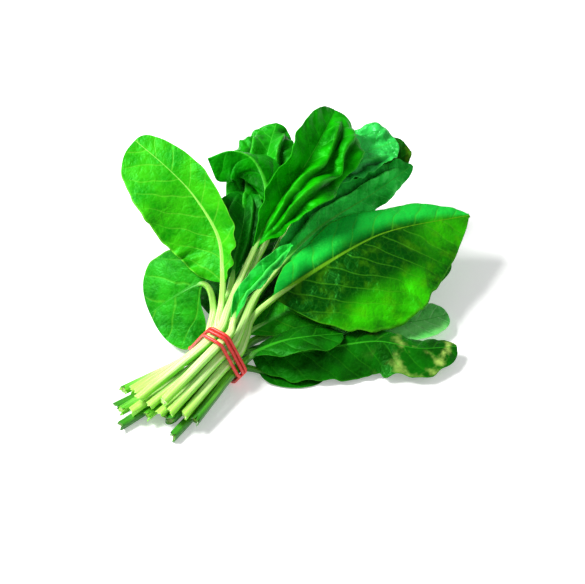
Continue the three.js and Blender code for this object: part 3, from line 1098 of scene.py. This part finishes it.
class LeafPath:
    """The middle line of a leaf, measured along its length from the cut end."""

    DIVISIONS = 200
    WAIST_KNOT = 2.5
    SIGHT = 2.0

    def __init__(self, plan: LeafPlan) -> None:
        """Runs a smooth line from the cut end through the tie to the tip.

        Args:
            plan: the leaf's plan.
        """
        y, z = WAIST.place(plan.slot)
        fan = (plan.cut - WAIST.half) / (WAIST.end_reach - WAIST.half)
        spread = y * WAIST.end_spread + WAIST.end_drift
        sunk = WAIST.end_lowest + plan.slot[0] * WAIST.end_rise
        end = np.array([-plan.cut, y + (spread - y) * fan, z + (sunk - z) * fan])
        back, front = np.array([-WAIST.half, y, z]), np.array([WAIST.half, y, z])
        ahead = np.array(plan.path, float)
        behind, before = back + (end - back) * 0.45, front + (ahead[0] - front) * 0.4
        points = np.vstack([end, behind, back, front, before, ahead])
        self.knots = np.vstack([2 * points[0] - points[1], points, 2 * points[-1] - points[-2]])
        self.spans = len(points) - 1
        self.steps = np.linspace(0, 1, self.DIVISIONS + 1)
        sides = np.linalg.norm(np.diff(self._at(self.steps), axis=0), axis=1)
        self.lengths = np.concatenate([[0], np.cumsum(sides)])
        self.total = float(self.lengths[-1])
        waist = math.floor(self.WAIST_KNOT / self.spans * self.DIVISIONS + 0.5)
        self.waist = float(self.lengths[waist])

    def _at(self, t: np.ndarray) -> np.ndarray:
        """Points of the line.

        Args:
            t: shares of its knots.

        Returns:
            Places in millimetres.
        """
        x = np.asarray(t, float) * self.spans
        i = np.minimum(np.floor(x).astype(int), self.spans - 1)
        f = (x - i)[..., None]
        a, b, c, d = (self.knots[i + k] for k in range(4))
        near, far = 0.5 * (c - a), 0.5 * (d - b)
        return b + f * (near + f * (3 * (c - b) - 2 * near - far + f * (2 * (b - c) + near + far)))

    def point(self, distance: np.ndarray) -> np.ndarray:
        """Points at distances along the line, in millimetres."""
        return self._at(np.interp(np.clip(distance, 0, self.total), self.lengths, self.steps))

    def frames(self, distance: np.ndarray) -> tuple[np.ndarray, np.ndarray, np.ndarray]:
        """Directions along the line, with left kept level.

        Args:
            distance: distances from the cut end, in millimetres.

        Returns:
            Forward, left and up.
        """
        forward = unit(self.point(distance + self.SIGHT) - self.point(distance - self.SIGHT))
        left = unit(np.cross([0, 0, 1], forward))
        return forward, left, np.cross(forward, left)


def mesh_piece(name: str, points: np.ndarray, faces: np.ndarray) -> bpy.types.Object:
    """A smooth mesh object.

    Args:
        name: the object's name.
        points: corners in the bunch's frame, in millimetres.
        faces: rows of four corner numbers.

    Returns:
        The object, linked to the scene.
    """
    mesh = bpy.data.meshes.new(name)
    mesh.from_pydata(to_row(points).tolist(), [], faces.tolist())
    mesh.shade_smooth()
    piece = bpy.data.objects.new(name, mesh)
    bpy.context.scene.collection.objects.link(piece)
    return piece


def set_attribute(mesh: bpy.types.Mesh, name: str, values: np.ndarray) -> None:
    """Keeps one number for each corner of a mesh.

    Args:
        mesh: the mesh.
        name: the attribute's name.
        values: its values.
    """
    layer = mesh.attributes.new(name, "FLOAT", "POINT")
    layer.data.foreach_set("value", np.ascontiguousarray(values, np.float32).ravel())


class Blade:
    """A leaf's blade: a thin sheet bent round the leaf's middle line, with veins and quilting."""

    THICKNESS = 0.55
    RIM = 0.3
    BASE_HALF = 2.3
    TIP_HALF = 1.5
    TABLE_CLEARANCE = 0.4
    ROWS = 120
    HALF_COLUMNS = 32
    RIB_DEPTH = 1.2
    VEIN_DEPTH = 0.3
    VEIN_SLANT = 0.8
    RAGGED_SIZE = 7.0

    def __init__(self, plan: LeafPlan, path: LeafPath, seed: int) -> None:
        """Sets the blade on the leaf's path.

        Args:
            plan: the leaf's plan.
            path: its middle line.
            seed: for its unevenness.
        """
        self.plan = plan
        self.path = path
        self.start = path.waist + plan.stem
        self.length = path.total - self.start
        self.uneven = Unevenness(seed)

    def half_width(self, v: np.ndarray, half: Half) -> np.ndarray:
        """Distance from the midrib to the edge.

        Args:
            v: share of the length from base to tip.
            half: the half's plan.

        Returns:
            Millimetres.
        """
        base = half.tip * half.broadest / (1 - half.broadest)
        full = half.broadest**base * (1 - half.broadest) ** half.tip
        least = self.BASE_HALF + (self.TIP_HALF - self.BASE_HALF) * v
        return np.maximum(half.width * v**base * (1 - v) ** half.tip / full, least)

    def _offsets(self, v: np.ndarray, s: np.ndarray, half: Half) -> tuple[np.ndarray, ...]:
        """Where points of one half lie in the blade's cross-section.

        Args:
            v: share of the length.
            s: share of the width.
            half: the half's plan.

        Returns:
            How far they lie out from the midrib and above it, their distance along the blade's
            surface, and the square of that distance's share of the half's width.
        """
        ragged = self.uneven.at(v * self.length / self.RAGGED_SIZE + 3, half.width + 0 * v)
        ragged = self.plan.relief.ragged * ragged * smooth(0, 0.1, v)
        across = np.abs(s) * self.half_width(v, half) * (1 + ragged * np.abs(s) ** 3)
        outer = (across / half.width) ** 2
        bend = np.radians(ease(half.curl, v)) / half.width
        bend = np.where(np.abs(bend) < 1e-6, 1e-6, bend)
        rise = np.radians(ease(half.lift, v))
        angle = rise + bend * across
        ripple = half.wave[0] * outer * np.sin(2 * np.pi * (half.wave[1] * v + half.wave[2]))
        turns = half.pleat[1] * v + half.pleat[2] + half.pleat[3] * np.abs(s)
        ripple = ripple + half.pleat[0] * (across / half.width) * np.sin(2 * np.pi * turns)
        out = (np.sin(angle) - np.sin(rise)) / bend - ripple * np.sin(angle)
        height = (np.cos(rise) - np.cos(angle)) / bend + ripple * np.cos(angle)
        return out, height, across, outer

    def sheet(self, v: np.ndarray, s: np.ndarray) -> tuple[np.ndarray, np.ndarray]:
        """The middle surface.

        Args:
            v: share of the length, a column.
            s: share of the width, a row, from -1 at the right edge to 1 at the left edge.

        Returns:
            Points, and their distance from the midrib in millimetres.
        """
        rights = self._offsets(v, s, self.plan.right)
        lefts = self._offsets(v, s, self.plan.left)
        out, height, across, outer = (np.where(s < 0, a, b) for a, b in zip(rights, lefts))
        distance = self.start + v[:, 0] * self.length
        forward, left, up = (d[:, None, :] for d in self.path.frames(distance))
        back = self.plan.lobe * outer * (1 - v) ** 3
        place = self.path.point(distance)[:, None, :] + left * (np.sign(s) * out)[..., None]
        place = place + up * height[..., None] - forward * back[..., None]
        place[..., 2] = np.maximum(place[..., 2], self.TABLE_CLEARANCE)
        return place, across

    @staticmethod
    def normals(grid: np.ndarray) -> np.ndarray:
        """Upward directions of a grid of points."""
        return unit(np.cross(np.gradient(grid, axis=0), np.gradient(grid, axis=1)))

    def veins(self, v: np.ndarray, s: np.ndarray, across: np.ndarray) -> np.ndarray:
        """A coordinate that is a whole number on each side vein.

        Args:
            v: share of the length.
            s: share of the width.
            across: distance from the midrib.

        Returns:
            The coordinate.
        """
        start = v * self.length - 0.75 * across - 0.010 * across**2
        wander = 0.12 * self.uneven.at(v * self.length / 9 + 40, across / 9 + 20 * np.sign(s))
        return start / self.plan.relief.vein_pitch + np.where(s < 0, 0.5, 0.0) + wander

    def from_vein(self, vein: np.ndarray) -> np.ndarray:
        """Distance in millimetres from the nearest side vein, by the veins' coordinate."""
        return np.abs(vein - np.round(vein)) * self.plan.relief.vein_pitch * self.VEIN_SLANT

    def relief(self, v: np.ndarray, s: np.ndarray, across: np.ndarray, vein: np.ndarray) -> np.ndarray:
        """Height of the quilting, the crinkles and the ruffled edge.

        Args:
            v: share of the length.
            s: share of the width.
            across: distance from the midrib.
            vein: the side veins' coordinate.

        Returns:
            Millimetres above the middle surface.
        """
        r = self.plan.relief
        along = v * self.length
        quilt = r.quilt * (1 - np.exp(-((self.from_vein(vein) / 2.0) ** 2)))
        x, y = along / r.crinkle_size, across * np.sign(s) / r.crinkle_size
        rough = self.uneven.at(x, y + 9)
        rough = rough + 0.45 * self.uneven.at(x * 2.3 + 7, y * 2.3 + 30)
        edge = self.uneven.at(along / r.ruffle_size + 13, np.sign(s) * 11 + 0 * along)
        inward = 1 - np.exp(-((across / 4.0) ** 2))
        ends = smooth(0.0, 0.08, v) * smooth(0.0, 0.06, 1 - v)
        frill = r.frill * np.sin(2 * np.pi * along / 11 + 2 * np.sign(s)) * smooth(0.45, 0.15, v) * s**4
        return ends * (inward * (quilt + r.crinkle * rough) + r.ruffle * edge * np.abs(s) ** 3 + frill)

    def columns(self, v: np.ndarray) -> np.ndarray:
        """Places of the columns of points, one of which follows each crease.

        Args:
            v: share of the length, a column.

        Returns:
            Share of the width for each row and column, from -1 to 1.
        """
        even = np.linspace(0, 1, self.HALF_COLUMNS + 1)
        halves = {}
        for side in (-1, 1):
            places = 0 * v + even[None, :]
            creases = sorted((c for c in self.plan.creases if c.side == side), key=lambda c: c.base)
            middles = [(c.base + c.tip) / 2 for c in creases]
            marks = [0, *(round(m * self.HALF_COLUMNS) for m in middles), self.HALF_COLUMNS]
            lines = [0 * v, *(c.line(v, self.length, self.uneven) for c in creases), 0 * v + 1]
            for k in range(len(marks) - 1):
                part = np.arange(marks[k], marks[k + 1] + 1)
                f = ((part - marks[k]) / (marks[k + 1] - marks[k]))[None, :]
                places[:, part] = lines[k] * (1 - f) + lines[k + 1] * f
            halves[side] = places
        return np.concatenate([-halves[-1][:, :0:-1], halves[1]], axis=1)

    def folds(self, v: np.ndarray, s: np.ndarray) -> tuple[np.ndarray, np.ndarray, np.ndarray]:
        """The creases over the whole blade.

        Args:
            v: share of the length.
            s: share of the width.

        Returns:
            Their height in millimetres, and two masks from 0 to 1: the painted shade in the valley
            beside a crease, and the painted highlight along its ridge.
        """
        height, hollow, brink = 0 * s, 0 * s, 0 * s
        for crease in self.plan.creases:
            half = self.plan.right if crease.side < 0 else self.plan.left
            line = crease.line(v, self.length, self.uneven)
            x = (np.abs(s) - line) * self.half_width(v, half)
            on = crease.on(v) * (np.sign(s) == crease.side)
            height = height + crease.height * on * crease.profile(x)
            # Painted shade in the valley just past each crease's steep drop.
            hollow = np.maximum(hollow, on * smooth(0.2, 1.2, x) * (1 - smooth(1.5, 7.0, x)))
            # Painted highlight on each crease's ridge.
            brink = np.maximum(brink, on * np.exp(-((x / 0.5) ** 2)))
        return height, hollow, brink

    def build(self, material: bpy.types.Material) -> bpy.types.Object:
        """Makes the blade's piece.

        Args:
            material: its material.

        Returns:
            The finished piece.
        """
        even = np.linspace(0, 1, self.ROWS + 1)
        v = (0.45 * even + 0.55 * (1 - np.cos(np.pi * even)) / 2)[:, None]
        s = self.columns(v)
        base, across = self.sheet(v, s)
        vein = self.veins(v, s, across)
        fold, hollow, brink = self.folds(v, s)
        grid = base + self.normals(base) * (self.relief(v, s, across, vein) + fold)[..., None]
        grid[..., 2] = np.maximum(grid[..., 2], self.THICKNESS / 2)
        normal = self.normals(grid)
        thick = self.THICKNESS + (self.RIM - self.THICKNESS) * np.abs(s) ** 3 + 0 * v
        ridge = self.VEIN_DEPTH * np.exp(-((self.from_vein(vein) / 0.6) ** 2)) * (1 - np.abs(s) ** 2)
        ridge = np.maximum(ridge, self.RIB_DEPTH * (1 - v) ** 0.8 * np.exp(-((across / 1.3) ** 2)))
        upper = grid + normal * (thick / 2)[..., None]
        lower = grid - normal * (thick / 2 + ridge)[..., None]
        lower[..., 2] = np.maximum(lower[..., 2], 0.0)
        rows, columns = vein.shape
        piece = mesh_piece(
            f"fine_blade_{self.plan.name}",
            np.concatenate([upper.reshape(-1, 3), lower.reshape(-1, 3)]),
            self._faces(rows, columns),
        )
        mesh = piece.data
        layers = {
            "vein": vein,
            "across": across,
            "share": v + 0 * s,
            "edge": np.abs(s),
            "side": s,
            "hollow": hollow,
            "brink": brink,
        }
        for name, values in layers.items():
            set_attribute(mesh, name, np.concatenate([values.ravel(), values.ravel()]))
        set_attribute(mesh, "under", np.repeat([0.0, 1.0], vein.size))
        flat = np.stack([v * self.length + 0 * s, across * np.sign(s)], axis=-1).reshape(-1, 2)
        self._set_uv(mesh, np.concatenate([flat, flat]) / 10)
        mesh.materials.append(material)
        return piece

    @staticmethod
    def _faces(rows: int, columns: int) -> np.ndarray:
        """Quads of both sides of the sheet and of its rim.

        Args:
            rows: rows of points from base to tip.
            columns: columns from the right edge to the left edge.

        Returns:
            Rows of four corner numbers.
        """
        number = np.arange(rows * columns).reshape(rows, columns)
        a, b = number[:-1, :-1].ravel(), number[1:, :-1].ravel()
        c, d = number[1:, 1:].ravel(), number[:-1, 1:].ravel()
        top = np.stack([a, b, c, d], axis=1)
        under = np.stack([a, d, c, b], axis=1) + rows * columns
        loop = np.concatenate([number[:-1, 0], number[-1, :-1], number[:0:-1, -1], number[0, :0:-1]])
        after = np.roll(loop, -1)
        rim = np.stack([loop, loop + rows * columns, after + rows * columns, after], axis=1)
        return np.concatenate([top, under, rim])

    @staticmethod
    def _set_uv(mesh: bpy.types.Mesh, places: np.ndarray) -> None:
        """Keeps each corner's place on the flat blade, in centimetres, as the UV map.

        Args:
            mesh: the blade's mesh.
            places: one pair for each corner.
        """
        layer = mesh.uv_layers.new(name="UVMap")
        corners = np.empty(len(mesh.loops), np.int32)
        mesh.loops.foreach_get("vertex_index", corners)
        layer.data.foreach_set("uv", np.ascontiguousarray(places[corners], np.float32).ravel())


class RodSweep:
    """Geometry Nodes that sweep a grooved and fluted round section along a line of points."""

    INPUTS = {
        "Sides": ("NodeSocketInt", 24),
        "Groove": ("NodeSocketFloat", 0.0),
        "Flutes": ("NodeSocketInt", 7),
        "Flute Depth": ("NodeSocketFloat", 0.0),
        "Cut Rim": ("NodeSocketFloat", 0.12),
        "Cut Sink": ("NodeSocketFloat", 0.0003),
        "Material": ("NodeSocketMaterial", None),
    }

    def __init__(self) -> None:
        """Builds the tree once."""
        self.tree = bpy.data.node_groups.new("rod_sweep", "GeometryNodeTree")
        self.tree.interface.new_socket("Geometry", in_out="INPUT", socket_type="NodeSocketGeometry")
        self.keys = {}
        for name, (kind, value) in self.INPUTS.items():
            socket = self.tree.interface.new_socket(name, in_out="INPUT", socket_type=kind)
            self.keys[name] = socket.identifier
            if value is not None:
                socket.default_value = value
        self.tree.interface.new_socket("Geometry", in_out="OUTPUT", socket_type="NodeSocketGeometry")
        self._fill()

    def _fill(self) -> None:
        """Adds the nodes: line, section, sweep, cut faces and material."""
        g = Graph(self.tree)
        start = g.node("NodeGroupInput")
        line = g.node("GeometryNodeMeshToCurve", {"Mesh": start.outputs["Geometry"]}).outputs[0]
        line = g.node("GeometryNodeSetCurveNormal", {"Curve": line}, mode="Z_UP").outputs[0]
        kept = g.node("GeometryNodeInputNamedAttribute", {"Name": "girth"}, data_type="FLOAT")
        girth = kept.outputs[0]
        length = g.node("GeometryNodeSplineParameter").outputs["Length"]
        line = g.node(
            "GeometryNodeStoreNamedAttribute",
            {"Geometry": line, "Name": "along", "Value": length},
            data_type="FLOAT",
            domain="POINT",
        ).outputs[0]
        ring = g.node(
            "GeometryNodeCurvePrimitiveCircle", {"Resolution": start.outputs["Sides"], "Radius": 1.0}
        ).outputs[0]
        position = g.node("GeometryNodeInputPosition").outputs[0]
        ring = g.node(
            "GeometryNodeStoreNamedAttribute",
            {"Geometry": ring, "Name": "ring", "Value": position},
            data_type="FLOAT_VECTOR",
            domain="POINT",
        ).outputs[0]
        turn = g.math("MULTIPLY", g.node("GeometryNodeSplineParameter").outputs["Factor"], 2 * math.pi)
        upward = g.math("SINE", g.math("MULTIPLY", turn, -1.0))
        top = g.math("POWER", g.math("MAXIMUM", upward, 0.0), 6.0)
        flute = g.math("COSINE", g.math("MULTIPLY", turn, start.outputs["Flutes"]))
        size = g.math("SUBTRACT", 1.0, g.math("MULTIPLY", top, start.outputs["Groove"]))
        size = g.math("SUBTRACT", size, g.math("MULTIPLY", flute, start.outputs["Flute Depth"]))
        scaled = g.node("ShaderNodeVectorMath", {0: position, "Scale": size}, operation="SCALE")
        moved = {"Geometry": ring, "Position": scaled.outputs[0]}
        ring = g.node("GeometryNodeSetPosition", moved).outputs[0]
        swept = {"Curve": line, "Profile Curve": ring, "Scale": girth, "Fill Caps": True}
        rod = g.node("GeometryNodeCurveToMesh", swept).outputs[0]
        corners = g.node("GeometryNodeInputMeshFaceNeighbors").outputs["Vertex Count"]
        more = g.node(
            "FunctionNodeCompare", {2: corners, 3: 4}, data_type="INT", operation="GREATER_THAN"
        )
        ends = more.outputs[0]
        rod, flat = self._inset(g, rod, ends, 0.0, start.outputs["Cut Rim"])
        rod, flat = self._inset(g, rod, flat, start.outputs["Cut Sink"], 0.3)
        rod = g.node(
            "GeometryNodeStoreNamedAttribute",
            {"Geometry": rod, "Name": "cut", "Value": flat},
            data_type="FLOAT",
            domain="POINT",
        ).outputs[0]
        rod = g.node("GeometryNodeSetShadeSmooth", {"Geometry": rod}).outputs[0]
        rod = g.node("GeometryNodeRealizeInstances", {"Geometry": rod}).outputs[0]
        dressed = {"Geometry": rod, "Material": start.outputs["Material"]}
        rod = g.node("GeometryNodeSetMaterial", dressed).outputs[0]
        g.node("NodeGroupOutput", {"Geometry": rod})

    @staticmethod
    def _inset(g: Graph, rod: Socket, faces: Socket, sink: Any, rim: Any) -> tuple[Socket, Socket]:
        """Insets the chosen faces and sinks them.

        Args:
            g: the graph.
            rod: the mesh.
            faces: which faces.
            sink: how deep, in metres.
            rim: share of their size that the inset takes.

        Returns:
            The mesh, and which faces lie inside the inset.
        """
        depth = g.math("MULTIPLY", sink, -1.0)
        pushed = {"Mesh": rod, "Selection": faces, "Offset Scale": depth, "Individual": True}
        made, inner = g.node("GeometryNodeExtrudeMesh", pushed).outputs[:2]
        shrunk = {"Geometry": made, "Selection": inner, "Scale": g.math("SUBTRACT", 1.0, rim)}
        return g.node("GeometryNodeScaleElements", shrunk).outputs[0], inner

    def sweep(
        self,
        name: str,
        points: np.ndarray,
        layers: dict[str, np.ndarray],
        closed: bool,
        values: dict[str, Any],
    ) -> bpy.types.Object:
        """Makes a rod along a line.

        Args:
            name: the piece's name.
            points: the line, in the bunch's frame, in millimetres.
            layers: numbers kept at each point by name, with girth for the rod's radius in metres.
            closed: whether the last point joins the first.
            values: values for the tree's inputs.

        Returns:
            The piece as a plain mesh.
        """
        count = len(points)
        edges = [(i, (i + 1) % count) for i in range(count if closed else count - 1)]
        line = bpy.data.meshes.new(f"{name}_line")
        line.from_pydata(to_row(points).tolist(), edges, [])
        for key, numbers in layers.items():
            set_attribute(line, key, numbers)
        piece = bpy.data.objects.new(name, line)
        bpy.context.scene.collection.objects.link(piece)
        modifier = piece.modifiers.new("sweep", "NODES")
        modifier.node_group = self.tree
        for key, value in values.items():
            modifier[self.keys[key]] = value
        graph = bpy.context.evaluated_depsgraph_get()
        mesh = bpy.data.meshes.new_from_object(piece.evaluated_get(graph), depsgraph=graph)
        mesh.name = name
        piece.modifiers.clear()
        piece.data = mesh
        bpy.data.meshes.remove(line)
        return piece


@dataclass(frozen=True)
class Stalk:
    """A leaf's stalk, which runs on as the midrib of its blade."""

    radius: float = 2.9
    joint_radius: float = 1.9
    rib_radius: float = 0.4
    groove: float = 0.28
    flutes: int = 7
    flute_depth: float = 0.025
    sides: int = 28
    rings: int = 130
    rib_sink: float = 0.45
    rib_fade: float = 3.5
    rib_end: float = 0.93
    tear: float = 0.9
    deep_tear: float = 2.2
    tear_reach: float = 0.9
    slant: float = 1.1

    def build(
        self, plan: LeafPlan, path: LeafPath, sweep: RodSweep, material: bpy.types.Material
    ) -> bpy.types.Object:
        """Makes the stalk's piece.

        Args:
            plan: the leaf's plan.
            path: its middle line.
            sweep: the Geometry Nodes that make it.
            material: its material.

        Returns:
            The finished piece.
        """
        joint = path.waist + plan.stem
        blade = path.total - joint
        distance = np.linspace(0, joint + blade * self.rib_end, self.rings)
        _, _, up = path.frames(distance)
        girth = self.radius + (self.joint_radius - self.radius) * smooth(path.waist, joint, distance)
        along = np.clip((distance - joint) / blade, 0, 1)
        thin = (1 - along) ** (1.2 + self.rib_fade * (1 - plan.rib))
        girth = self.rib_radius + (girth - self.rib_radius) * thin
        sunk = (self.rib_sink + 0.5 * (1 - plan.rib)) * smooth(0.0, 0.15, along) * girth
        stage = np.clip(distance / path.waist, 0, 1)
        stage = stage + np.clip((distance - path.waist) / plan.stem, 0, 1) + along
        points = path.point(distance) - up * sunk[:, None]
        points[:, 2] = np.maximum(points[:, 2], girth * 1.05)
        values = {
            "Sides": self.sides,
            "Groove": self.groove,
            "Flutes": self.flutes,
            "Flute Depth": self.flute_depth,
            "Material": material,
        }
        layers = {"girth": girth * MM, "stage": stage}
        piece = sweep.sweep(f"fine_stem_{plan.name}", points, layers, False, values)
        depth = self.tear * (self.deep_tear if plan.torn else 1)
        self._tear(piece, points, depth, Unevenness(len(plan.name) + 7 * plan.slot[0] + plan.slot[1]))
        return piece

    def _tear(
        self, piece: bpy.types.Object, points: np.ndarray, depth: float, uneven: Unevenness
    ) -> None:
        """Leaves the cut end slanted and a little torn.

        Args:
            piece: the stalk.
            points: its middle line, from the cut end.
            depth: depth of the torn edge in millimetres.
            uneven: what draws the slant and the tear.
        """
        count = len(piece.data.vertices)
        places = np.empty(count * 3)
        piece.data.vertices.foreach_get("co", places)
        places = places.reshape(-1, 3)
        start, ahead = to_row(points[0]), unit(points[2] - points[0])
        offset = places - start
        along = offset @ ahead
        end = along < self.tear_reach * MM
        offset, along = offset[end], along[end]
        side = offset - along[:, None] * ahead
        turn = np.arctan2(side[:, 2], side[:, 1])
        out = np.linalg.norm(side, axis=1) / (self.radius * MM)
        torn = depth * uneven.at(2.2 * turn + 8, 5 + 0 * turn)
        torn = torn + self.slant * np.cos(turn + 9 * uneven.corners[0, 0])
        places[end] += (out * torn * MM)[:, None] * ahead
        piece.data.vertices.foreach_set("co", places.ravel())
        piece.data.update()


@dataclass(frozen=True)
class RubberBand:
    """A closed strand of rubber wound round the tie and crossing back over itself."""

    radius: float = 1.1
    pitch: float = 2.7
    turns: int = 3
    steps: int = 60
    sides: int = 16
    gap: float = 0.6
    slack: float = 2.4
    slack_at: float = 110.0
    first: float = 0.055
    crossing: tuple[float, float] = (0.2, 0.02)
    hump: float = 2.4
    stalk_radius: float = 2.9

    def build(self, sweep: RodSweep, material: bpy.types.Material) -> bpy.types.Object:
        """Makes the band's piece.

        Args:
            sweep: the Geometry Nodes that make it.
            material: its material.

        Returns:
            The finished piece.
        """
        count = self.turns * self.steps
        turns = np.arange(count) / self.steps
        back = smooth(self.turns - self.crossing[0], self.turns - self.crossing[1], turns)
        hump = self.hump * self.radius * np.sin(np.pi * back) ** 0.7
        clearance = self.stalk_radius + self.gap + self.radius + hump
        angle = 2 * np.pi * (turns + self.first)
        slipped = self.slack * np.maximum(np.cos(angle - math.radians(self.slack_at)), 0) * (turns < 1)
        along = self.pitch * (turns * (1 - back) - 0.4 * self.turns) - slipped
        out = np.stack([np.cos(angle), np.sin(angle)], axis=1)
        places = np.array([WAIST.place(leaf.slot) for leaf in LEAVES])
        nearest = places[np.argmax(out @ places.T, axis=1)]
        centre = nearest + out * clearance[:, None]
        points = np.column_stack([along, centre])
        layers = {"girth": np.full(count, self.radius * MM)}
        values = {"Sides": self.sides, "Material": material}
        return sweep.sweep("fine_rubber_band", points, layers, True, values)


class Bunch:
    """All leaves and the band that ties them."""

    def __init__(self) -> None:
        """Readies the shared trees and the materials."""
        self.effects = SharedEffects()
        self.sweep = RodSweep()
        self.materials: dict[str, bpy.types.Material] = {}

    def material(self, finish: Finish, *more: Any) -> bpy.types.Material:
        """The material of a finish, made on first use.

        Args:
            finish: the finish.
            more: what else its material takes.

        Returns:
            The material.
        """
        if finish.name not in self.materials:
            self.materials[finish.name] = finish.material(self.effects, *more)
        return self.materials[finish.name]

    @staticmethod
    def stalk_finish(plan: LeafPlan) -> StalkFinish:
        """Finish of a leaf's stalk, named also for the blade whose midrib it runs into.

        Args:
            plan: the leaf's plan.

        Returns:
            The finish.
        """
        pale = LOW_STALK if plan.torn else PALE_STALK
        finish = GREEN_STALK if plan.green_stem else pale
        return replace(finish, name=f"{finish.name}_{plan.finish.name}")

    @staticmethod
    def hand_over(piece: bpy.types.Object, node: str, slot: Slot) -> None:
        """Tells the frame what a piece rides on and stands for.

        Args:
            piece: the finished piece.
            node: the node that it stands for.
            slot: the record's material slot, which is not used.
        """
        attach(piece, BODY)
        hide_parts(node)
        LOG.info("%s: %d faces", piece.name, len(piece.data.polygons))

    def build(self) -> None:
        """Makes every piece of the bunch."""
        for number, plan in enumerate(LEAVES):
            path = LeafPath(plan)
            stalk = self.stalk_finish(plan)
            stem = Stalk().build(plan, path, self.sweep, self.material(stalk, plan.finish.rib))
            self.hand_over(stem, f"stem_{plan.name}", stalk.slot)
            blade = Blade(plan, path, FIRST_SEED + number).build(self.material(plan.finish))
            self.hand_over(blade, f"blade_{plan.name}", plan.finish.slot)
        rubber = RubberFinish()
        band = RubberBand().build(self.sweep, self.material(rubber))
        self.hand_over(band, "rubber_band", rubber.slot)


@dataclass(frozen=True)
class Studio:
    """The pale floor, the soft light and the camera."""

    target: tuple[float, float, float] = (63.0, -11.3, 27.0)
    azimuth: float = -54.0
    elevation: float = 45.0
    distance: float = 1.0
    sensor: float = 36.0
    lens: float = 97.68
    floor_half: float = 3.0
    floor_sink: float = 0.0002

    def centre(self) -> Vector:
        """The point that the camera and the lights face, in the row frame."""
        return Vector(to_row(np.array(self.target)).tolist())

    def axes(self) -> tuple[Vector, Vector, Vector]:
        """The camera's directions.

        Returns:
            Right, up and back.
        """
        a, e = math.radians(self.azimuth), math.radians(self.elevation)
        back = Vector((math.sin(a) * math.cos(e), -math.cos(a) * math.cos(e), math.sin(e)))
        right = Vector((math.cos(a), math.sin(a), 0))
        return right, back.cross(right), back

    def camera(self) -> None:
        """Sets the camera at the photograph's angle."""
        right, up, back = self.axes()
        data = bpy.data.cameras.new("camera")
        data.sensor_width, data.lens = self.sensor, self.lens
        data.clip_start, data.clip_end = 0.01, 20
        camera = bpy.data.objects.new("camera", data)
        turn = Matrix((right, up, back)).transposed().to_4x4()
        camera.matrix_world = Matrix.Translation(self.centre() + back * self.distance) @ turn
        bpy.context.scene.collection.objects.link(camera)
        bpy.context.scene.camera = camera

    def lamp(
        self, name: str, place: tuple[float, float, float], size: float, power: float, tint: Colour
    ) -> None:
        """Adds a soft light that faces the bunch.

        Args:
            name: its name.
            place: how far right, away from the camera and up it stands from the target, in metres.
            size: its side, in metres.
            power: in watts.
            tint: its colour.
        """
        right, _, back = self.axes()
        away = Vector((-back.x, -back.y, 0)).normalized()
        offset = right * place[0] + away * place[1] + Vector((0, 0, place[2]))
        data = bpy.data.lights.new(name, "AREA")
        data.shape, data.size, data.energy, data.color = "SQUARE", size, power, tint
        light = bpy.data.objects.new(name, data)
        light.location = self.centre() + offset
        light.rotation_mode = "QUATERNION"
        light.rotation_quaternion = (-offset).to_track_quat("-Z", "Y")
        bpy.context.scene.collection.objects.link(light)

    def floor(self) -> None:
        """Adds the plain pale floor."""
        half = self.floor_half
        mesh = bpy.data.meshes.new("floor")
        plan = ((-half, -half), (half, -half), (half, half), (-half, half))
        mesh.from_pydata([(x, y, -self.floor_sink) for x, y in plan], [], [(0, 1, 2, 3)])
        floor = bpy.data.objects.new("floor", mesh)
        bpy.context.scene.collection.objects.link(floor)
        material, g, shader, _ = new_material("pale_floor")
        place = g.node("ShaderNodeTexCoord").outputs["Object"]
        pale = g.mix(g.noise(place, 3.0), (0.93, 0.93, 0.93), (0.95, 0.95, 0.95))
        g.feed(shader, {"Base Color": pale, "Roughness": 0.6})
        g.feed(shader, {"Emission Color": (1, 1, 1, 1), "Emission Strength": 0.3})
        mesh.materials.append(material)

    def build(self) -> None:
        """Sets up the whole studio."""
        self.camera()
        self.floor()
        self.lamp("key", (-0.8, 0.15, 0.95), 0.45, 26.0, (1.0, 1.0, 0.98))
        self.lamp("fill", (0.9, -0.4, 0.9), 1.2, 3.0, (0.96, 0.98, 1.0))
        world = bpy.data.worlds.new("studio")
        world.use_nodes = True
        ground = world.node_tree.nodes["Background"]
        Graph(world.node_tree).feed(ground, {"Color": (1, 1, 1, 1), "Strength": 0.30})
        scene = bpy.context.scene
        scene.world = world
        scene.view_settings.view_transform = "Standard"


def main() -> None:
    """Builds the studio and the bunch."""
    logging.basicConfig(level=logging.INFO, format="%(name)s %(message)s")
    Studio().build()
    Bunch().build()
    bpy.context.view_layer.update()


if __name__ == "__main__":
    main()
